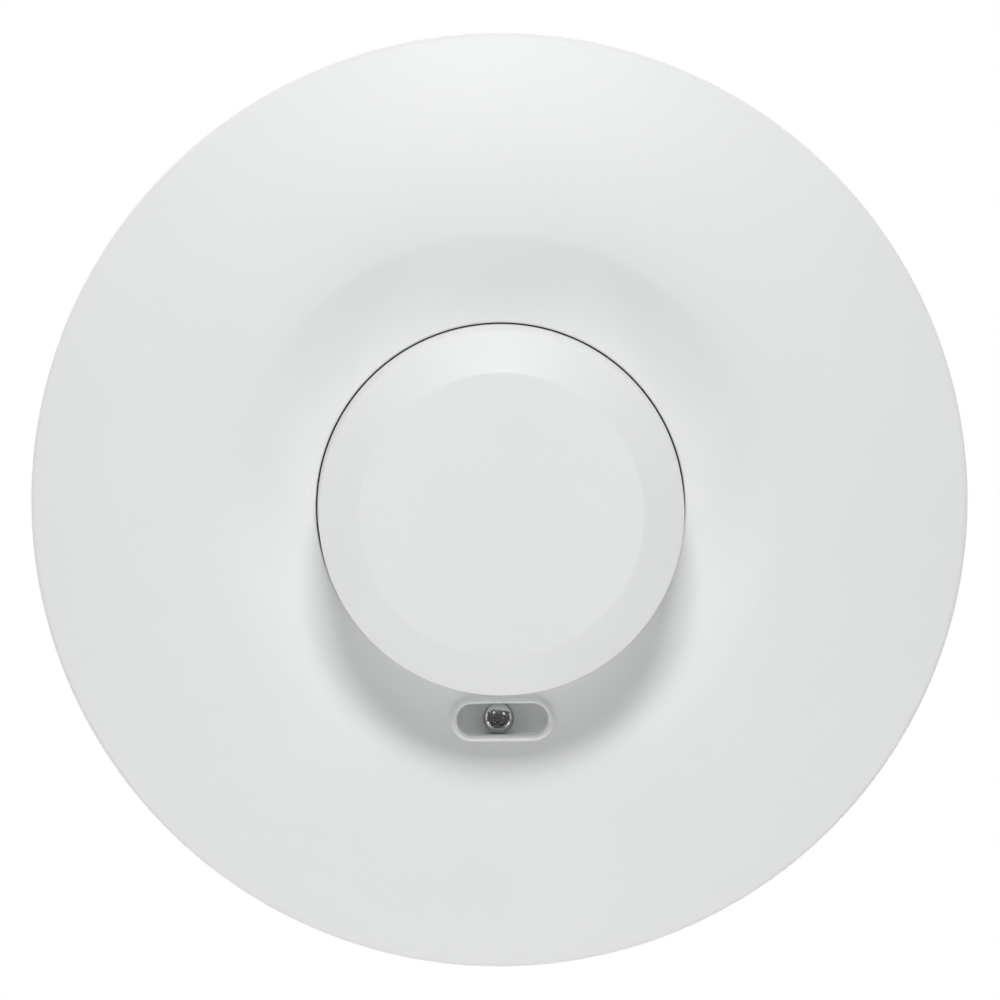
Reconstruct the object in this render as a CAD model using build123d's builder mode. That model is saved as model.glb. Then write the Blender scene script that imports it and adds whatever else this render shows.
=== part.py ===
"""Round surface-mount motion sensor: base pan, cover, pull-off cap and the electronics between them.

Millimetres, +Z out of the face. The origin is the centre of the flat back of the base. +Y is the top
of the sensor as mounted on a wall, so the cover's screw slot lies on the -Y side.
"""
from build123d import *
from math import atan2, cos, pi, radians, sin, sqrt, tan
import os

os.makedirs("parts", exist_ok=True)

# ---------------------------------------------------------------- driving dimensions
# Cover
cover_radius = 60.0
rim_height = 15.0            # top of the outer edge above the back
rim_skirt = 3.0              # depth of the outer edge
rim_fillet = 0.9
crease_radius = 34.5         # where the brim meets the ring
crease_height = 21.7
brim_bulge = 0.9             # sagitta of the brim's section
ring_fall = 0.4              # the ring dips this much towards the cap
cover_wall = 2.0
hole_lip_fillet = 0.3

# Cap
cap_radius = 23.2            # at the ring
cap_edge_radius = 22.8       # top of the drafted wall
cap_edge_rise = 10.2         # that edge above the ring
cap_top_radius = 17.7
cap_height = 34.6            # flat top above the back
cap_wall = 1.6
cap_top_fillet = 0.8
cap_edge_fillet = 0.3
cap_rib_count = 6
cap_rib_width = 1.5

# Cover screw and its slot
slot_margin = 0.35           # between the pocket's wall and the centre hole
slot_length = 11.7
slot_width = 4.1
slot_lip_width = 0.8         # width of the raised lip round the slot
slot_lip_rise = 0.45
slot_depth = 2.1
pocket_floor = 1.4
pocket_wall = 1.2
screw_x = -0.5
screw_head_diameter = 3.95
screw_head_height = 1.7
cover_screw_length = 11.0
cover_screw_shank = 2.2
cross_angle = 38.0           # turn of the cross in the screw heads

# Base
base_radius = 52.0
base_wall = 2.0
base_floor = 2.5
base_edge_fillet = 1.0
mount_spacing = 60.0
mount_slot_length = 8.5
mount_slot_width = 4.6
mount_pad_rise = 0.8
mount_pad_radius = 6.2
cable_hole_radius = 7.0
cable_hole_y = 40.5
knockout_width = 12.0
knockout_height = 7.0
knockout_depth = 0.8
key_width = 4.0
key_depth = 1.1
key_angles = (65.0, 115.0)
post_radius = 3.0
boss_radius = 3.0            # under the cover screw

# Cable grommet
grommet_flange = 1.0         # width of the flange round the hole
grommet_flange_height = 1.4
grommet_neck_wall = 1.6
grommet_membrane = 0.8
grommet_round = 0.5

# Boards
board_thickness = 1.6
board_standoff = 3.0
board_radius = 46.0
board_chord_margin = 0.4     # board beyond the terminal block
board_screw_reach = 41.5     # from the axis to the board screws
board_screw_angles = (20.0, 160.0, 270.0)
tool_hole_radius = 7.0       # in the board, over each mounting slot

# Inner carrier
collar_radius = 21.0
collar_wall = 1.5
collar_depth = 6.0
deck_height = 22.6
deck_thickness = 1.6
flange_height = 18.5
flange_thickness = 1.5
leg_width = 5.0
leg_angles = (45.0, 135.0, 225.0, 315.0)
ear_thickness = 2.0
ear_length = 3.3             # from the flange's edge to the carrier screws
ear_end_radius = 3.0
sensor_boss_rise = 1.0
sensor_boss_radius = 2.0
link_slot_width = 3.4
link_slot_margin = 1.0       # slot beyond the outermost pins' pitch
cap_rib_drop = 1.0           # top of the cap's ribs below the top of its skirt

# Small screws
head_radius = 2.0
head_height = 1.5
shank_radius = 1.1
small_head_radius = 1.6
small_head_height = 1.1
small_shank_radius = 0.8
clamp_head_radius = 1.7
clamp_head_height = 1.4
clamp_screw_length = 1.8
screw_tip_gap = 0.6          # screw tips above the pan's floor

# Shape of every screw, as shares of its head or shank
head_round_share = 0.45      # of the head's height
cross_span_share = 1.2       # of the head's radius
cross_width_share = 0.36     # of the head's radius
cross_depth_share = 0.55     # of the head's height
tip_chamfer_share = 0.4      # of the shank's radius

# Sensor board and radar module
sensor_board_radius = 18.7
sensor_board_thickness = 1.2
sensor_screw_x = 15.6
sensor_screw_y = 3.0
radar_width = 22.0
radar_depth = 16.0
radar_thickness = 1.0
radar_corner = 0.8
radar_centre_y = 5.0
radar_gap = 3.4              # between the sensor board and the radar board
dial_places = {"dial_sensitivity": (-11.5, -8.5), "dial_time": (0.0, -14.0), "dial_light": (11.5, -8.5)}
dial_radius = 3.1
dial_thickness = 1.4
dial_chamfer = 0.25
dial_slot = (0.8, 4.65, 0.7)  # width, length, depth
dial_arrow_radius = 1.0
dial_arrow_reach = 2.325
dial_shaft_radius = 1.0
shaft_end = 1.0              # end of the shafts above the sensor board
trimmer_size = 6.8
trimmer_corner = 0.4
trimmer_height = 2.6
trimmer_floor = 0.6

# Link pins between the boards, and the radar module's pins
link_count = 5
link_pitch = 2.54
link_y = 16.6
link_header_height = 8.5
link_pin_foot = 1.0          # lower end of the link pins above the power board
pin_radius = 0.32
pin_proud = 1.2
radar_pin_count = 4
radar_pin_y = 11.6
shield_width = 14.0
shield_depth = 9.0
shield_height = 1.9
shield_wall = 0.3
shield_corner = 0.6
shield_y = 4.0
patch_size = 5.6
patch_spacing = 11.0
patch_y = 3.5
patch_line_width = 0.5
copper_thickness = 0.1

# Terminal block
terminal_count = 4
terminal_pitch = 5.08
terminal_depth = 8.5
terminal_height = 10.0
terminal_margin = 1.7        # between the flange and the terminal block
terminal_chamfer = 1.5
wire_mouth = 4.0
wire_hole = 2.6
wire_hole_lift = 0.5         # above the clamp's foot
clamp_lift = 1.2             # above the power board
clamp_depth = 5.0
clamp_height = 4.4
clamp_well_radius = 1.9

# Parts on the power board. Blocks are width, depth, height and edge round
relay_place = (0.0, 0.0)
relay_size = (28.0, 10.0, 12.3, 0.8)
film_place = (0.0, 11.5)
film_size = (13.0, 6.0, 11.0, 0.8)
bridge_place = (-35.5, -17.5)
bridge_size = (8.2, 6.4, 3.2, 0.4)
regulator_place = (-14.0, -36.0)
regulator_size = (6.6, 6.2, 2.3, 0.3)
block_top_share = 0.8        # top round as a share of the edge round
# cans are radius, height and height of the rolled groove
electrolytic_places = [(-7.0, -12.2), (7.0, -12.2)]
electrolytic_size = (4.0, 12.0, 1.4)
fuse_place = (31.0, 20.0)
fuse_size = (4.2, 8.0, 5.0)
can_round = 0.5
groove_width = 0.8
groove_depth = 0.35
varistor_place = (-31.0, 20.0)
varistor_radius = 4.6
varistor_thickness = 3.6
varistor_round_share = 0.4   # of its thickness
choke_place = (28.0, -27.0)
choke_radius = 4.5
choke_height = 8.5
choke_flange = 1.2
winding_share = 0.88         # of the choke's radius
resistor_xs = (8.0, 12.0, 16.0, 20.0)
resistor_y = -36.5
resistor_radius = 1.2
resistor_length = 6.5
resistor_round_share = 0.35  # of its radius

# Parts on the sensor board
light_cell_place = (0.0, -6.9)
light_cell_radius = 2.5
light_cell_height = 1.8
cell_step = 0.3              # width and height of the raised disc's step
led_place = (5.4, -5.6)
led_radius = 1.5
led_height = 2.4
led_flange = 0.3
led_flange_height = 0.8
led_dome_share = 0.95        # of the lamp's radius
controller_place = (0.0, 3.5)
controller_size = (6.4, 5.0, 1.1)
controller_chamfer = 0.2
chip_places = [(-13.3, 7.5), (-13.3, 10.0), (13.3, 7.5), (13.3, 10.0)]
chip_size = (1.25, 1.6, 0.6)

# Clearances
free_gap = 0.3               # between pieces that move past each other
cap_gap = 0.2                # radial, cap to the edge of the cover hole
shaft_gap = 0.05             # radial, turning shafts and push fits
screw_gap = 0.15             # radial, screw in a through hole
head_gap = 0.02              # under a screw head or a part that is seated

# ---------------------------------------------------------------- worked-out heights and radii
ring_height = crease_height - ring_fall
hole_radius = cap_radius + cap_gap
slot_centre_y = -(hole_radius + slot_margin + pocket_wall + slot_width / 2)
flange_radius = cap_radius - free_gap
ear_reach = flange_radius + ear_length
terminal_y = flange_radius + terminal_margin + terminal_depth / 2
board_chord_y = terminal_y + terminal_depth / 2 + board_chord_margin
board_bottom = base_floor + board_standoff
board_top = board_bottom + board_thickness
seat_height = rim_height
lip_outer = base_radius - base_wall - free_gap
lip_wall = 1.6
lip_inner = lip_outer - lip_wall
lip_bottom = seat_height - 4.0
slot_floor = ring_height - slot_depth
pocket_bottom = slot_floor - pocket_floor
sensor_bottom = deck_height + sensor_boss_rise
sensor_top = sensor_bottom + sensor_board_thickness
radar_bottom = sensor_top + radar_gap
radar_top = radar_bottom + radar_thickness
trimmer_top = sensor_top + trimmer_height


def brim_height(radius):
    """Height of the cover's outer surface on the brim, from the circle through its two ends."""
    run = cover_radius - crease_radius
    drop = crease_height - rim_height
    chord = sqrt(run**2 + drop**2)
    arc_radius = (chord**2 / 4 + brim_bulge**2) / (2 * brim_bulge)
    reach = arc_radius - brim_bulge
    centre_r = (cover_radius + crease_radius) / 2 - reach * drop / chord
    centre_z = (rim_height + crease_height) / 2 - reach * run / chord
    return centre_z + sqrt(arc_radius**2 - (radius - centre_r) ** 2)


def polar(radius, angle):
    """Point in plan at a radius and an angle in degrees from +X."""
    return (radius * cos(radians(angle)), radius * sin(radians(angle)))


def save(piece, name):
    """Label a finished piece and write it to its own file."""
    piece.part.label = name
    export_step(piece.part, f"parts/{name}.step")


def screw(places, seat, head_radius, head_height, shank_radius, length):
    """Pan-head cross-recess screws whose heads sit on the height seat, pointing down."""
    span = head_radius * cross_span_share
    width = head_radius * cross_width_share
    with BuildPart() as screws:
        with BuildSketch(Plane.XY.offset(seat + head_gap)):
            with Locations(*places):
                Circle(head_radius)
        extrude(amount=head_height)
        fillet(screws.edges().group_by(Axis.Z)[-1], head_height * head_round_share)
        with BuildSketch(Plane.XY.offset(seat + head_gap)):
            with Locations(*places):
                Circle(shank_radius)
        extrude(amount=-length)
        chamfer(screws.edges().group_by(Axis.Z)[0], shank_radius * tip_chamfer_share)
        with BuildSketch(Plane.XY.offset(seat + head_gap + head_height)):
            with Locations(*places):
                Rectangle(span, width, rotation=cross_angle)
                Rectangle(span, width, rotation=cross_angle + 90)
        extrude(amount=-head_height * cross_depth_share, mode=Mode.SUBTRACT)
    return screws


link_places = [((i - (link_count - 1) / 2) * link_pitch, link_y) for i in range(link_count)]
radar_pin_places = [
    ((i - (radar_pin_count - 1) / 2) * link_pitch, radar_pin_y) for i in range(radar_pin_count)
]
carrier_places = [polar(ear_reach, angle) for angle in leg_angles]
board_places = [polar(board_screw_reach, angle) for angle in board_screw_angles]
sensor_places = [(-sensor_screw_x, sensor_screw_y), (sensor_screw_x, sensor_screw_y)]
boss_place = (screw_x, slot_centre_y)
boss_top = pocket_bottom - free_gap
screw_hole = shank_radius + screw_gap


# ---------------------------------------------------------------- rear base
def make_rear_base():
    """Round pan: floor, wall, board posts, cover-screw boss, mounting slots and cable hole."""
    with BuildPart() as base:
        with BuildSketch():
            Circle(base_radius)
        extrude(amount=seat_height)
        fillet(base.edges().group_by(Axis.Z)[0], base_edge_fillet)
        with BuildSketch(Plane.XY.offset(base_floor)):
            Circle(base_radius - base_wall)
        extrude(amount=seat_height, mode=Mode.SUBTRACT)
        # posts under the board and the taller boss for the cover screw
        with BuildSketch(Plane.XY.offset(base_floor)):
            with Locations(*carrier_places, *board_places):
                Circle(post_radius)
        extrude(amount=board_standoff)
        with BuildSketch(Plane.XY.offset(base_floor)):
            with Locations(boss_place):
                Circle(boss_radius)
        extrude(amount=boss_top - base_floor)
        with BuildSketch(Plane.XY.offset(base_floor)):
            with Locations(*carrier_places, *board_places):
                Circle(shank_radius + shaft_gap)
        extrude(amount=board_standoff, mode=Mode.SUBTRACT)
        with BuildSketch(Plane.XY.offset(boss_top)):
            with Locations(boss_place):
                Circle(cover_screw_shank / 2 + shaft_gap)
        extrude(amount=-(boss_top - base_floor), mode=Mode.SUBTRACT)
        # pads round the two mounting slots, then the slots
        with BuildSketch(Plane.XY.offset(base_floor)):
            with Locations((-mount_spacing / 2, 0), (mount_spacing / 2, 0)):
                Circle(mount_pad_radius)
        extrude(amount=mount_pad_rise)
        with BuildSketch():
            with Locations((-mount_spacing / 2, 0), (mount_spacing / 2, 0)):
                SlotOverall(mount_slot_length, mount_slot_width)
            with Locations((0, cable_hole_y)):
                Circle(cable_hole_radius)
        extrude(amount=base_floor + mount_pad_rise, mode=Mode.SUBTRACT)
        # thin patch in the wall that is cut out for a cable run on the surface
        with BuildSketch(Plane.XZ.offset(-base_radius)):
            with Locations((0, base_floor + knockout_height / 2)):
                Rectangle(knockout_width, knockout_height)
        extrude(amount=knockout_depth, mode=Mode.SUBTRACT)
        # notches for the cover's two locating keys
        with BuildSketch(Plane.XY.offset(lip_bottom - free_gap)):
            for angle in key_angles:
                with Locations(Location(polar(base_radius - base_wall, angle), angle)):
                    Rectangle(2 * key_depth, key_width + 2 * free_gap)
        extrude(amount=seat_height, mode=Mode.SUBTRACT)
    save(base, "rear_base")


def make_cable_grommet():
    """Rubber bush in the cable hole: flange on the floor, neck in the hole, thin blind membrane."""
    neck_inner = cable_hole_radius - shaft_gap - grommet_neck_wall
    with BuildPart() as grommet:
        with BuildSketch(Plane.XY.offset(base_floor + head_gap)):
            with Locations((0, cable_hole_y)):
                Circle(cable_hole_radius + grommet_flange)
        extrude(amount=grommet_flange_height)
        with BuildSketch(Plane.XY.offset(base_edge_fillet / 2)):
            with Locations((0, cable_hole_y)):
                Circle(cable_hole_radius - shaft_gap)
        extrude(amount=base_floor)
        with BuildSketch(Plane.XY.offset(base_edge_fillet / 2 + grommet_membrane)):
            with Locations((0, cable_hole_y)):
                Circle(neck_inner)
        extrude(amount=base_floor + grommet_flange_height, mode=Mode.SUBTRACT)
        fillet(grommet.edges().group_by(Axis.Z)[-1], grommet_round)
    save(grommet, "cable_grommet")


# ---------------------------------------------------------------- cover, its screw and the cap
def make_front_cover():
    """Cover shell with its brim and ring, seat and locating lip, and the screw pocket."""
    seat_top = brim_height(base_radius) - cover_wall / 2
    with BuildPart() as cover:
        with BuildSketch(Plane.XZ):
            with BuildLine():
                inner_rim = (cover_radius - cover_wall, rim_height - 0.75 * cover_wall)
                inner_crease = (crease_radius, crease_height - cover_wall)
                Line((cover_radius, rim_height - rim_skirt), (cover_radius, rim_height))
                SagittaArc((cover_radius, rim_height), (crease_radius, crease_height), -brim_bulge)
                Line((crease_radius, crease_height), (hole_radius, ring_height))
                Line((hole_radius, ring_height), (hole_radius, ring_height - cover_wall))
                Line((hole_radius, ring_height - cover_wall), inner_crease)
                SagittaArc(inner_crease, inner_rim, brim_bulge)
                inner_foot = (cover_radius - cover_wall, rim_height - rim_skirt)
                Line(inner_rim, inner_foot)
                Line(inner_foot, (cover_radius, rim_height - rim_skirt))
            make_face()
        revolve(axis=Axis.Z)
        # seat on the base wall and lip inside it
        with BuildSketch(Plane.XY.offset(seat_height + head_gap)):
            Circle(base_radius)
            Circle(lip_inner, mode=Mode.SUBTRACT)
        extrude(amount=seat_top - seat_height - head_gap)
        with BuildSketch(Plane.XY.offset(lip_bottom)):
            Circle(lip_outer)
            Circle(lip_inner, mode=Mode.SUBTRACT)
        extrude(amount=seat_top - lip_bottom)
        with BuildSketch(Plane.XY.offset(lip_bottom)):
            for angle in key_angles:
                with Locations(Location(polar(lip_outer, angle), angle)):
                    Rectangle(2 * key_depth, key_width)
        extrude(amount=seat_top - lip_bottom)
        # pocket under the slot, raised lip round it, then the slot and the screw hole
        with BuildSketch(Plane.XY.offset(pocket_bottom)):
            with Locations((0, slot_centre_y)):
                SlotOverall(slot_length + 2 * pocket_wall, slot_width + 2 * pocket_wall)
        extrude(amount=ring_height - cover_wall / 2 - pocket_bottom)
        with BuildSketch(Plane.XY.offset(ring_height - cover_wall / 2)):
            with Locations((0, slot_centre_y)):
                SlotOverall(slot_length + 2 * slot_lip_width, slot_width + 2 * slot_lip_width)
        extrude(amount=cover_wall / 2 + ring_fall / 2 + slot_lip_rise)
        fillet(cover.edges().group_by(Axis.Z)[-1], slot_lip_rise * 0.9)
        with BuildSketch(Plane.XY.offset(slot_floor)):
            with Locations((0, slot_centre_y)):
                SlotOverall(slot_length, slot_width)
        extrude(amount=2 * slot_depth, mode=Mode.SUBTRACT)
        with BuildSketch(Plane.XY.offset(pocket_bottom)):
            with Locations(boss_place):
                Circle(cover_screw_shank / 2 + screw_gap)
        extrude(amount=pocket_floor, mode=Mode.SUBTRACT)
        # edge rounds: the outer rim and the mouth of the centre hole
        rim_edge = cover.edges().filter_by(GeomType.CIRCLE).filter_by(
            lambda e: abs(e.radius - cover_radius) < 0.01 and abs(e.center().Z - rim_height) < 0.01
        )
        fillet(rim_edge, rim_fillet)
        hole_edge = cover.edges().filter_by(GeomType.CIRCLE).filter_by(
            lambda e: abs(e.radius - hole_radius) < 0.01 and abs(e.center().Z - ring_height) < 0.01
        )
        fillet(hole_edge, hole_lip_fillet)
    save(cover, "front_cover")


def make_cover_screw():
    """Captive cross-head screw at the bottom of the slot."""
    cover_screw = screw(
        [boss_place], slot_floor, screw_head_diameter / 2, screw_head_height,
        cover_screw_shank / 2, cover_screw_length,
    )
    save(cover_screw, "cover_screw")


def make_sensor_cap():
    """Thin-walled cap: drafted wall, cone and flat top, with push-fit ribs inside the skirt."""
    skirt_bottom = flange_height + head_gap
    edge_height = ring_height + cap_edge_rise
    skirt_inner = collar_radius + free_gap
    skirt_top = deck_height + free_gap
    inside_top = cap_height - cap_wall
    slope = atan2(cap_height - edge_height, cap_edge_radius - cap_top_radius)
    inside_edge = edge_height - cap_wall * tan((pi / 2 - slope) / 2)
    with BuildPart() as cap:
        with BuildSketch(Plane.XZ):
            with BuildLine():
                Polyline(
                    (cap_radius, skirt_bottom),
                    (cap_radius, ring_height),
                    (cap_edge_radius, edge_height),
                    (cap_top_radius, cap_height),
                    (0, cap_height),
                    (0, inside_top),
                    (cap_top_radius - cap_wall * tan(slope / 2), inside_top),
                    (cap_edge_radius - cap_wall, inside_edge),
                    (skirt_inner, skirt_top),
                    (skirt_inner, skirt_bottom),
                    close=True,
                )
            make_face()
        revolve(axis=Axis.Z)
        circles = cap.edges().filter_by(GeomType.CIRCLE)
        fillet(circles.filter_by(lambda e: abs(e.center().Z - cap_height) < 0.01), cap_top_fillet)
        circles = cap.edges().filter_by(GeomType.CIRCLE)
        fillet(circles.filter_by(lambda e: abs(e.center().Z - edge_height) < 0.01), cap_edge_fillet)
        rib_depth = free_gap - shaft_gap
        with BuildSketch(Plane.XY.offset(skirt_bottom)):
            with PolarLocations(skirt_inner, cap_rib_count):
                Rectangle(2 * rib_depth, cap_rib_width)
        extrude(amount=skirt_top - skirt_bottom - cap_rib_drop)
    save(cap, "sensor_cap")


# ---------------------------------------------------------------- inner carrier
def make_inner_carrier():
    """Deck on a short collar with a flange that the cap stands on, carried by four legs with ears."""
    collar_inner = collar_radius - collar_wall
    leg_middle = (collar_inner + flange_radius) / 2
    with BuildPart() as carrier:
        with BuildSketch(Plane.XY.offset(deck_height - collar_depth)):
            Circle(collar_radius)
            Circle(collar_inner, mode=Mode.SUBTRACT)
        extrude(amount=collar_depth)
        with BuildSketch(Plane.XY.offset(deck_height - deck_thickness)):
            Circle(collar_radius)
        extrude(amount=deck_thickness)
        with BuildSketch(Plane.XY.offset(flange_height - flange_thickness)):
            Circle(flange_radius)
            Circle(collar_inner, mode=Mode.SUBTRACT)
        extrude(amount=flange_thickness)
        with BuildSketch(Plane.XY.offset(board_top)):
            with PolarLocations(leg_middle, len(leg_angles), start_angle=leg_angles[0]):
                Rectangle(flange_radius - collar_inner, leg_width)
        extrude(amount=flange_height - board_top)
        with BuildSketch(Plane.XY.offset(board_top)):
            with PolarLocations((ear_reach + collar_inner) / 2, len(leg_angles), start_angle=leg_angles[0]):
                Rectangle(ear_reach - collar_inner, 2 * ear_end_radius)
            with Locations(*carrier_places):
                Circle(ear_end_radius)
        extrude(amount=ear_thickness)
        with BuildSketch(Plane.XY.offset(board_top)):
            with Locations(*carrier_places):
                Circle(screw_hole)
        extrude(amount=ear_thickness, mode=Mode.SUBTRACT)
        # bosses under the sensor board, their screw holes and the slot for the link pins
        with BuildSketch(Plane.XY.offset(deck_height)):
            with Locations(*sensor_places, (0, -sensor_board_radius + post_radius)):
                Circle(sensor_boss_radius)
        extrude(amount=sensor_boss_rise)
        with BuildSketch(Plane.XY.offset(deck_height - deck_thickness)):
            with Locations(*sensor_places):
                Circle(small_shank_radius + shaft_gap)
            with Locations((0, link_y)):
                SlotOverall(link_pitch * link_count + 2 * link_slot_margin, link_slot_width)
        extrude(amount=deck_thickness + sensor_boss_rise, mode=Mode.SUBTRACT)
    save(carrier, "inner_carrier")


# ---------------------------------------------------------------- boards
def make_power_board():
    """Round mains board with a straight edge beside the wiring space."""
    with BuildPart() as board:
        with BuildSketch(Plane.XY.offset(board_bottom)):
            Circle(board_radius)
            with Locations((0, board_chord_y)):
                Rectangle(
                    2 * board_radius, board_radius, align=(Align.CENTER, Align.MIN), mode=Mode.SUBTRACT
                )
            with Locations((-mount_spacing / 2, 0), (mount_spacing / 2, 0)):
                Circle(tool_hole_radius, mode=Mode.SUBTRACT)
            with Locations(*carrier_places, *board_places):
                Circle(screw_hole, mode=Mode.SUBTRACT)
            with Locations(boss_place):
                Circle(boss_radius + free_gap, mode=Mode.SUBTRACT)
        extrude(amount=board_thickness)
    save(board, "power_board")


def make_sensor_board():
    """Round low-voltage board on the deck."""
    with BuildPart() as board:
        with BuildSketch(Plane.XY.offset(sensor_bottom)):
            Circle(sensor_board_radius)
            with Locations(*sensor_places):
                Circle(small_shank_radius + screw_gap, mode=Mode.SUBTRACT)
            with Locations(*link_places, *radar_pin_places):
                Circle(pin_radius + shaft_gap, mode=Mode.SUBTRACT)
        extrude(amount=sensor_board_thickness)
    save(board, "sensor_board")


def make_screw_sets():
    """Screws that hold the carrier, the power board and the sensor board."""
    carrier_length = ear_thickness + board_thickness + board_standoff - screw_tip_gap
    carrier_screws = screw(
        carrier_places, board_top + ear_thickness, head_radius, head_height, shank_radius, carrier_length
    )
    save(carrier_screws, "carrier_screws")
    board_screws = screw(
        board_places, board_top, head_radius, head_height, shank_radius,
        board_thickness + board_standoff - screw_tip_gap,
    )
    save(board_screws, "board_screws")
    sensor_screws = screw(
        sensor_places, sensor_top, small_head_radius, small_head_height, small_shank_radius,
        sensor_board_thickness + sensor_boss_rise + deck_thickness,
    )
    save(sensor_screws, "sensor_board_screws")


# ---------------------------------------------------------------- terminal block
def make_terminal_block():
    """Four-way screw terminal: housing, steel wire clamps and clamp screws."""
    width = terminal_pitch * terminal_count
    top = board_top + terminal_height
    clamp_width = wire_mouth - 2 * free_gap
    clamp_bottom = board_top + clamp_lift
    middle_y = terminal_y
    front_y = terminal_y + terminal_depth / 2
    places = [((i - (terminal_count - 1) / 2) * terminal_pitch, middle_y) for i in range(terminal_count)]
    with BuildPart() as housing:
        with BuildSketch(Plane.XY.offset(board_top + head_gap)):
            with Locations((0, middle_y)):
                Rectangle(width, terminal_depth)
        extrude(amount=terminal_height - head_gap)
        chamfer(housing.edges().filter_by(Axis.X).group_by(Axis.Z)[-1].sort_by(Axis.Y)[-1], terminal_chamfer)
        with BuildSketch(Plane.XZ.offset(-front_y)):
            with Locations(*[(x, clamp_bottom + clamp_height / 2) for x, _ in places]):
                Rectangle(wire_mouth, clamp_height + 2 * free_gap)
        extrude(amount=terminal_depth / 2 + clamp_depth / 2 + free_gap, mode=Mode.SUBTRACT)
        with BuildSketch(Plane.XY.offset(top)):
            with Locations(*places):
                Circle(clamp_well_radius)
        extrude(amount=-(top - clamp_bottom - clamp_height), mode=Mode.SUBTRACT)
    save(housing, "terminal_housing")

    with BuildPart() as clamps:
        with BuildSketch(Plane.XY.offset(clamp_bottom)):
            with Locations(*places):
                Rectangle(clamp_width, clamp_depth)
        extrude(amount=clamp_height)
        with BuildSketch(Plane.XZ.offset(-middle_y + clamp_depth / 2)):
            with Locations(*[(x, clamp_bottom + wire_hole_lift + wire_hole / 2) for x, _ in places]):
                Rectangle(wire_hole, wire_hole)
        extrude(amount=-clamp_depth, mode=Mode.SUBTRACT)
        with BuildSketch(Plane.XY.offset(clamp_bottom + clamp_height)):
            with Locations(*places):
                Circle(shank_radius + shaft_gap)
        extrude(amount=-clamp_height / 2, mode=Mode.SUBTRACT)
    save(clamps, "terminal_clamps")

    clamp_screws = screw(
        places, clamp_bottom + clamp_height, clamp_head_radius, clamp_head_height, shank_radius,
        clamp_screw_length,
    )
    save(clamp_screws, "terminal_screws")


# ---------------------------------------------------------------- parts on the power board
def make_block(name, place, size):
    """Moulded block with rounded upright and top edges, standing on the power board."""
    width, depth, height, edge = size
    with BuildPart() as block:
        with BuildSketch(Plane.XY.offset(board_top + head_gap)):
            with Locations(place):
                RectangleRounded(width, depth, edge)
        extrude(amount=height)
        fillet(block.edges().group_by(Axis.Z)[-1], edge * block_top_share)
    save(block, name)


def make_can(name, places, size):
    """Upright round cans with a rolled groove above the foot."""
    radius, height, groove = size
    with BuildPart() as cans:
        with BuildSketch(Plane.XY.offset(board_top + head_gap)):
            with Locations(*places):
                Circle(radius)
        extrude(amount=height)
        fillet(cans.edges().group_by(Axis.Z)[-1], can_round)
        with BuildSketch(Plane.XY.offset(board_top + head_gap + groove)):
            with Locations(*places):
                Circle(radius)
                Circle(radius - groove_depth, mode=Mode.SUBTRACT)
        extrude(amount=groove_width, mode=Mode.SUBTRACT)
    save(cans, name)


def make_varistor():
    """Disc varistor standing on edge."""
    with BuildPart() as varistor:
        with BuildSketch(Plane.XZ.offset(-varistor_place[1] - varistor_thickness / 2)):
            with Locations((varistor_place[0], board_top + head_gap + varistor_radius)):
                Circle(varistor_radius)
        extrude(amount=varistor_thickness)
        fillet(varistor.edges(), varistor_thickness * varistor_round_share)
    save(varistor, "varistor")


def make_choke():
    """Drum-core choke: two flanges and the winding between them."""
    with BuildPart() as choke:
        with BuildSketch(Plane.XY.offset(board_top + head_gap)):
            with Locations(choke_place):
                Circle(choke_radius)
        extrude(amount=choke_height)
        with BuildSketch(Plane.XY.offset(board_top + head_gap + choke_flange)):
            with Locations(choke_place):
                Circle(choke_radius)
                Circle(choke_radius * winding_share, mode=Mode.SUBTRACT)
        extrude(amount=choke_height - 2 * choke_flange, mode=Mode.SUBTRACT)
    save(choke, "choke")


def make_resistors():
    """Row of axial resistors lying on the board."""
    places = [(x, board_top + head_gap + resistor_radius) for x in resistor_xs]
    with BuildPart() as resistors:
        with BuildSketch(Plane.XZ.offset(-resistor_y - resistor_length / 2)):
            with Locations(*places):
                Circle(resistor_radius)
        extrude(amount=resistor_length)
        fillet(resistors.edges().filter_by(GeomType.CIRCLE), resistor_radius * resistor_round_share)
    save(resistors, "resistors")


# ---------------------------------------------------------------- link between the boards
def make_link():
    """Socket strip on the power board and the long pins up to the sensor board."""
    with BuildPart() as header:
        with BuildSketch(Plane.XY.offset(board_top + head_gap)):
            with Locations((0, link_y)):
                Rectangle(link_pitch * link_count, link_pitch)
            with Locations(*link_places):
                Circle(pin_radius + shaft_gap, mode=Mode.SUBTRACT)
        extrude(amount=link_header_height)
    save(header, "link_header")

    with BuildPart() as pins:
        with BuildSketch(Plane.XY.offset(board_top + link_pin_foot)):
            with Locations(*link_places):
                Circle(pin_radius)
        extrude(amount=sensor_top + pin_proud - board_top - link_pin_foot)
    save(pins, "link_pins")


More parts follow.
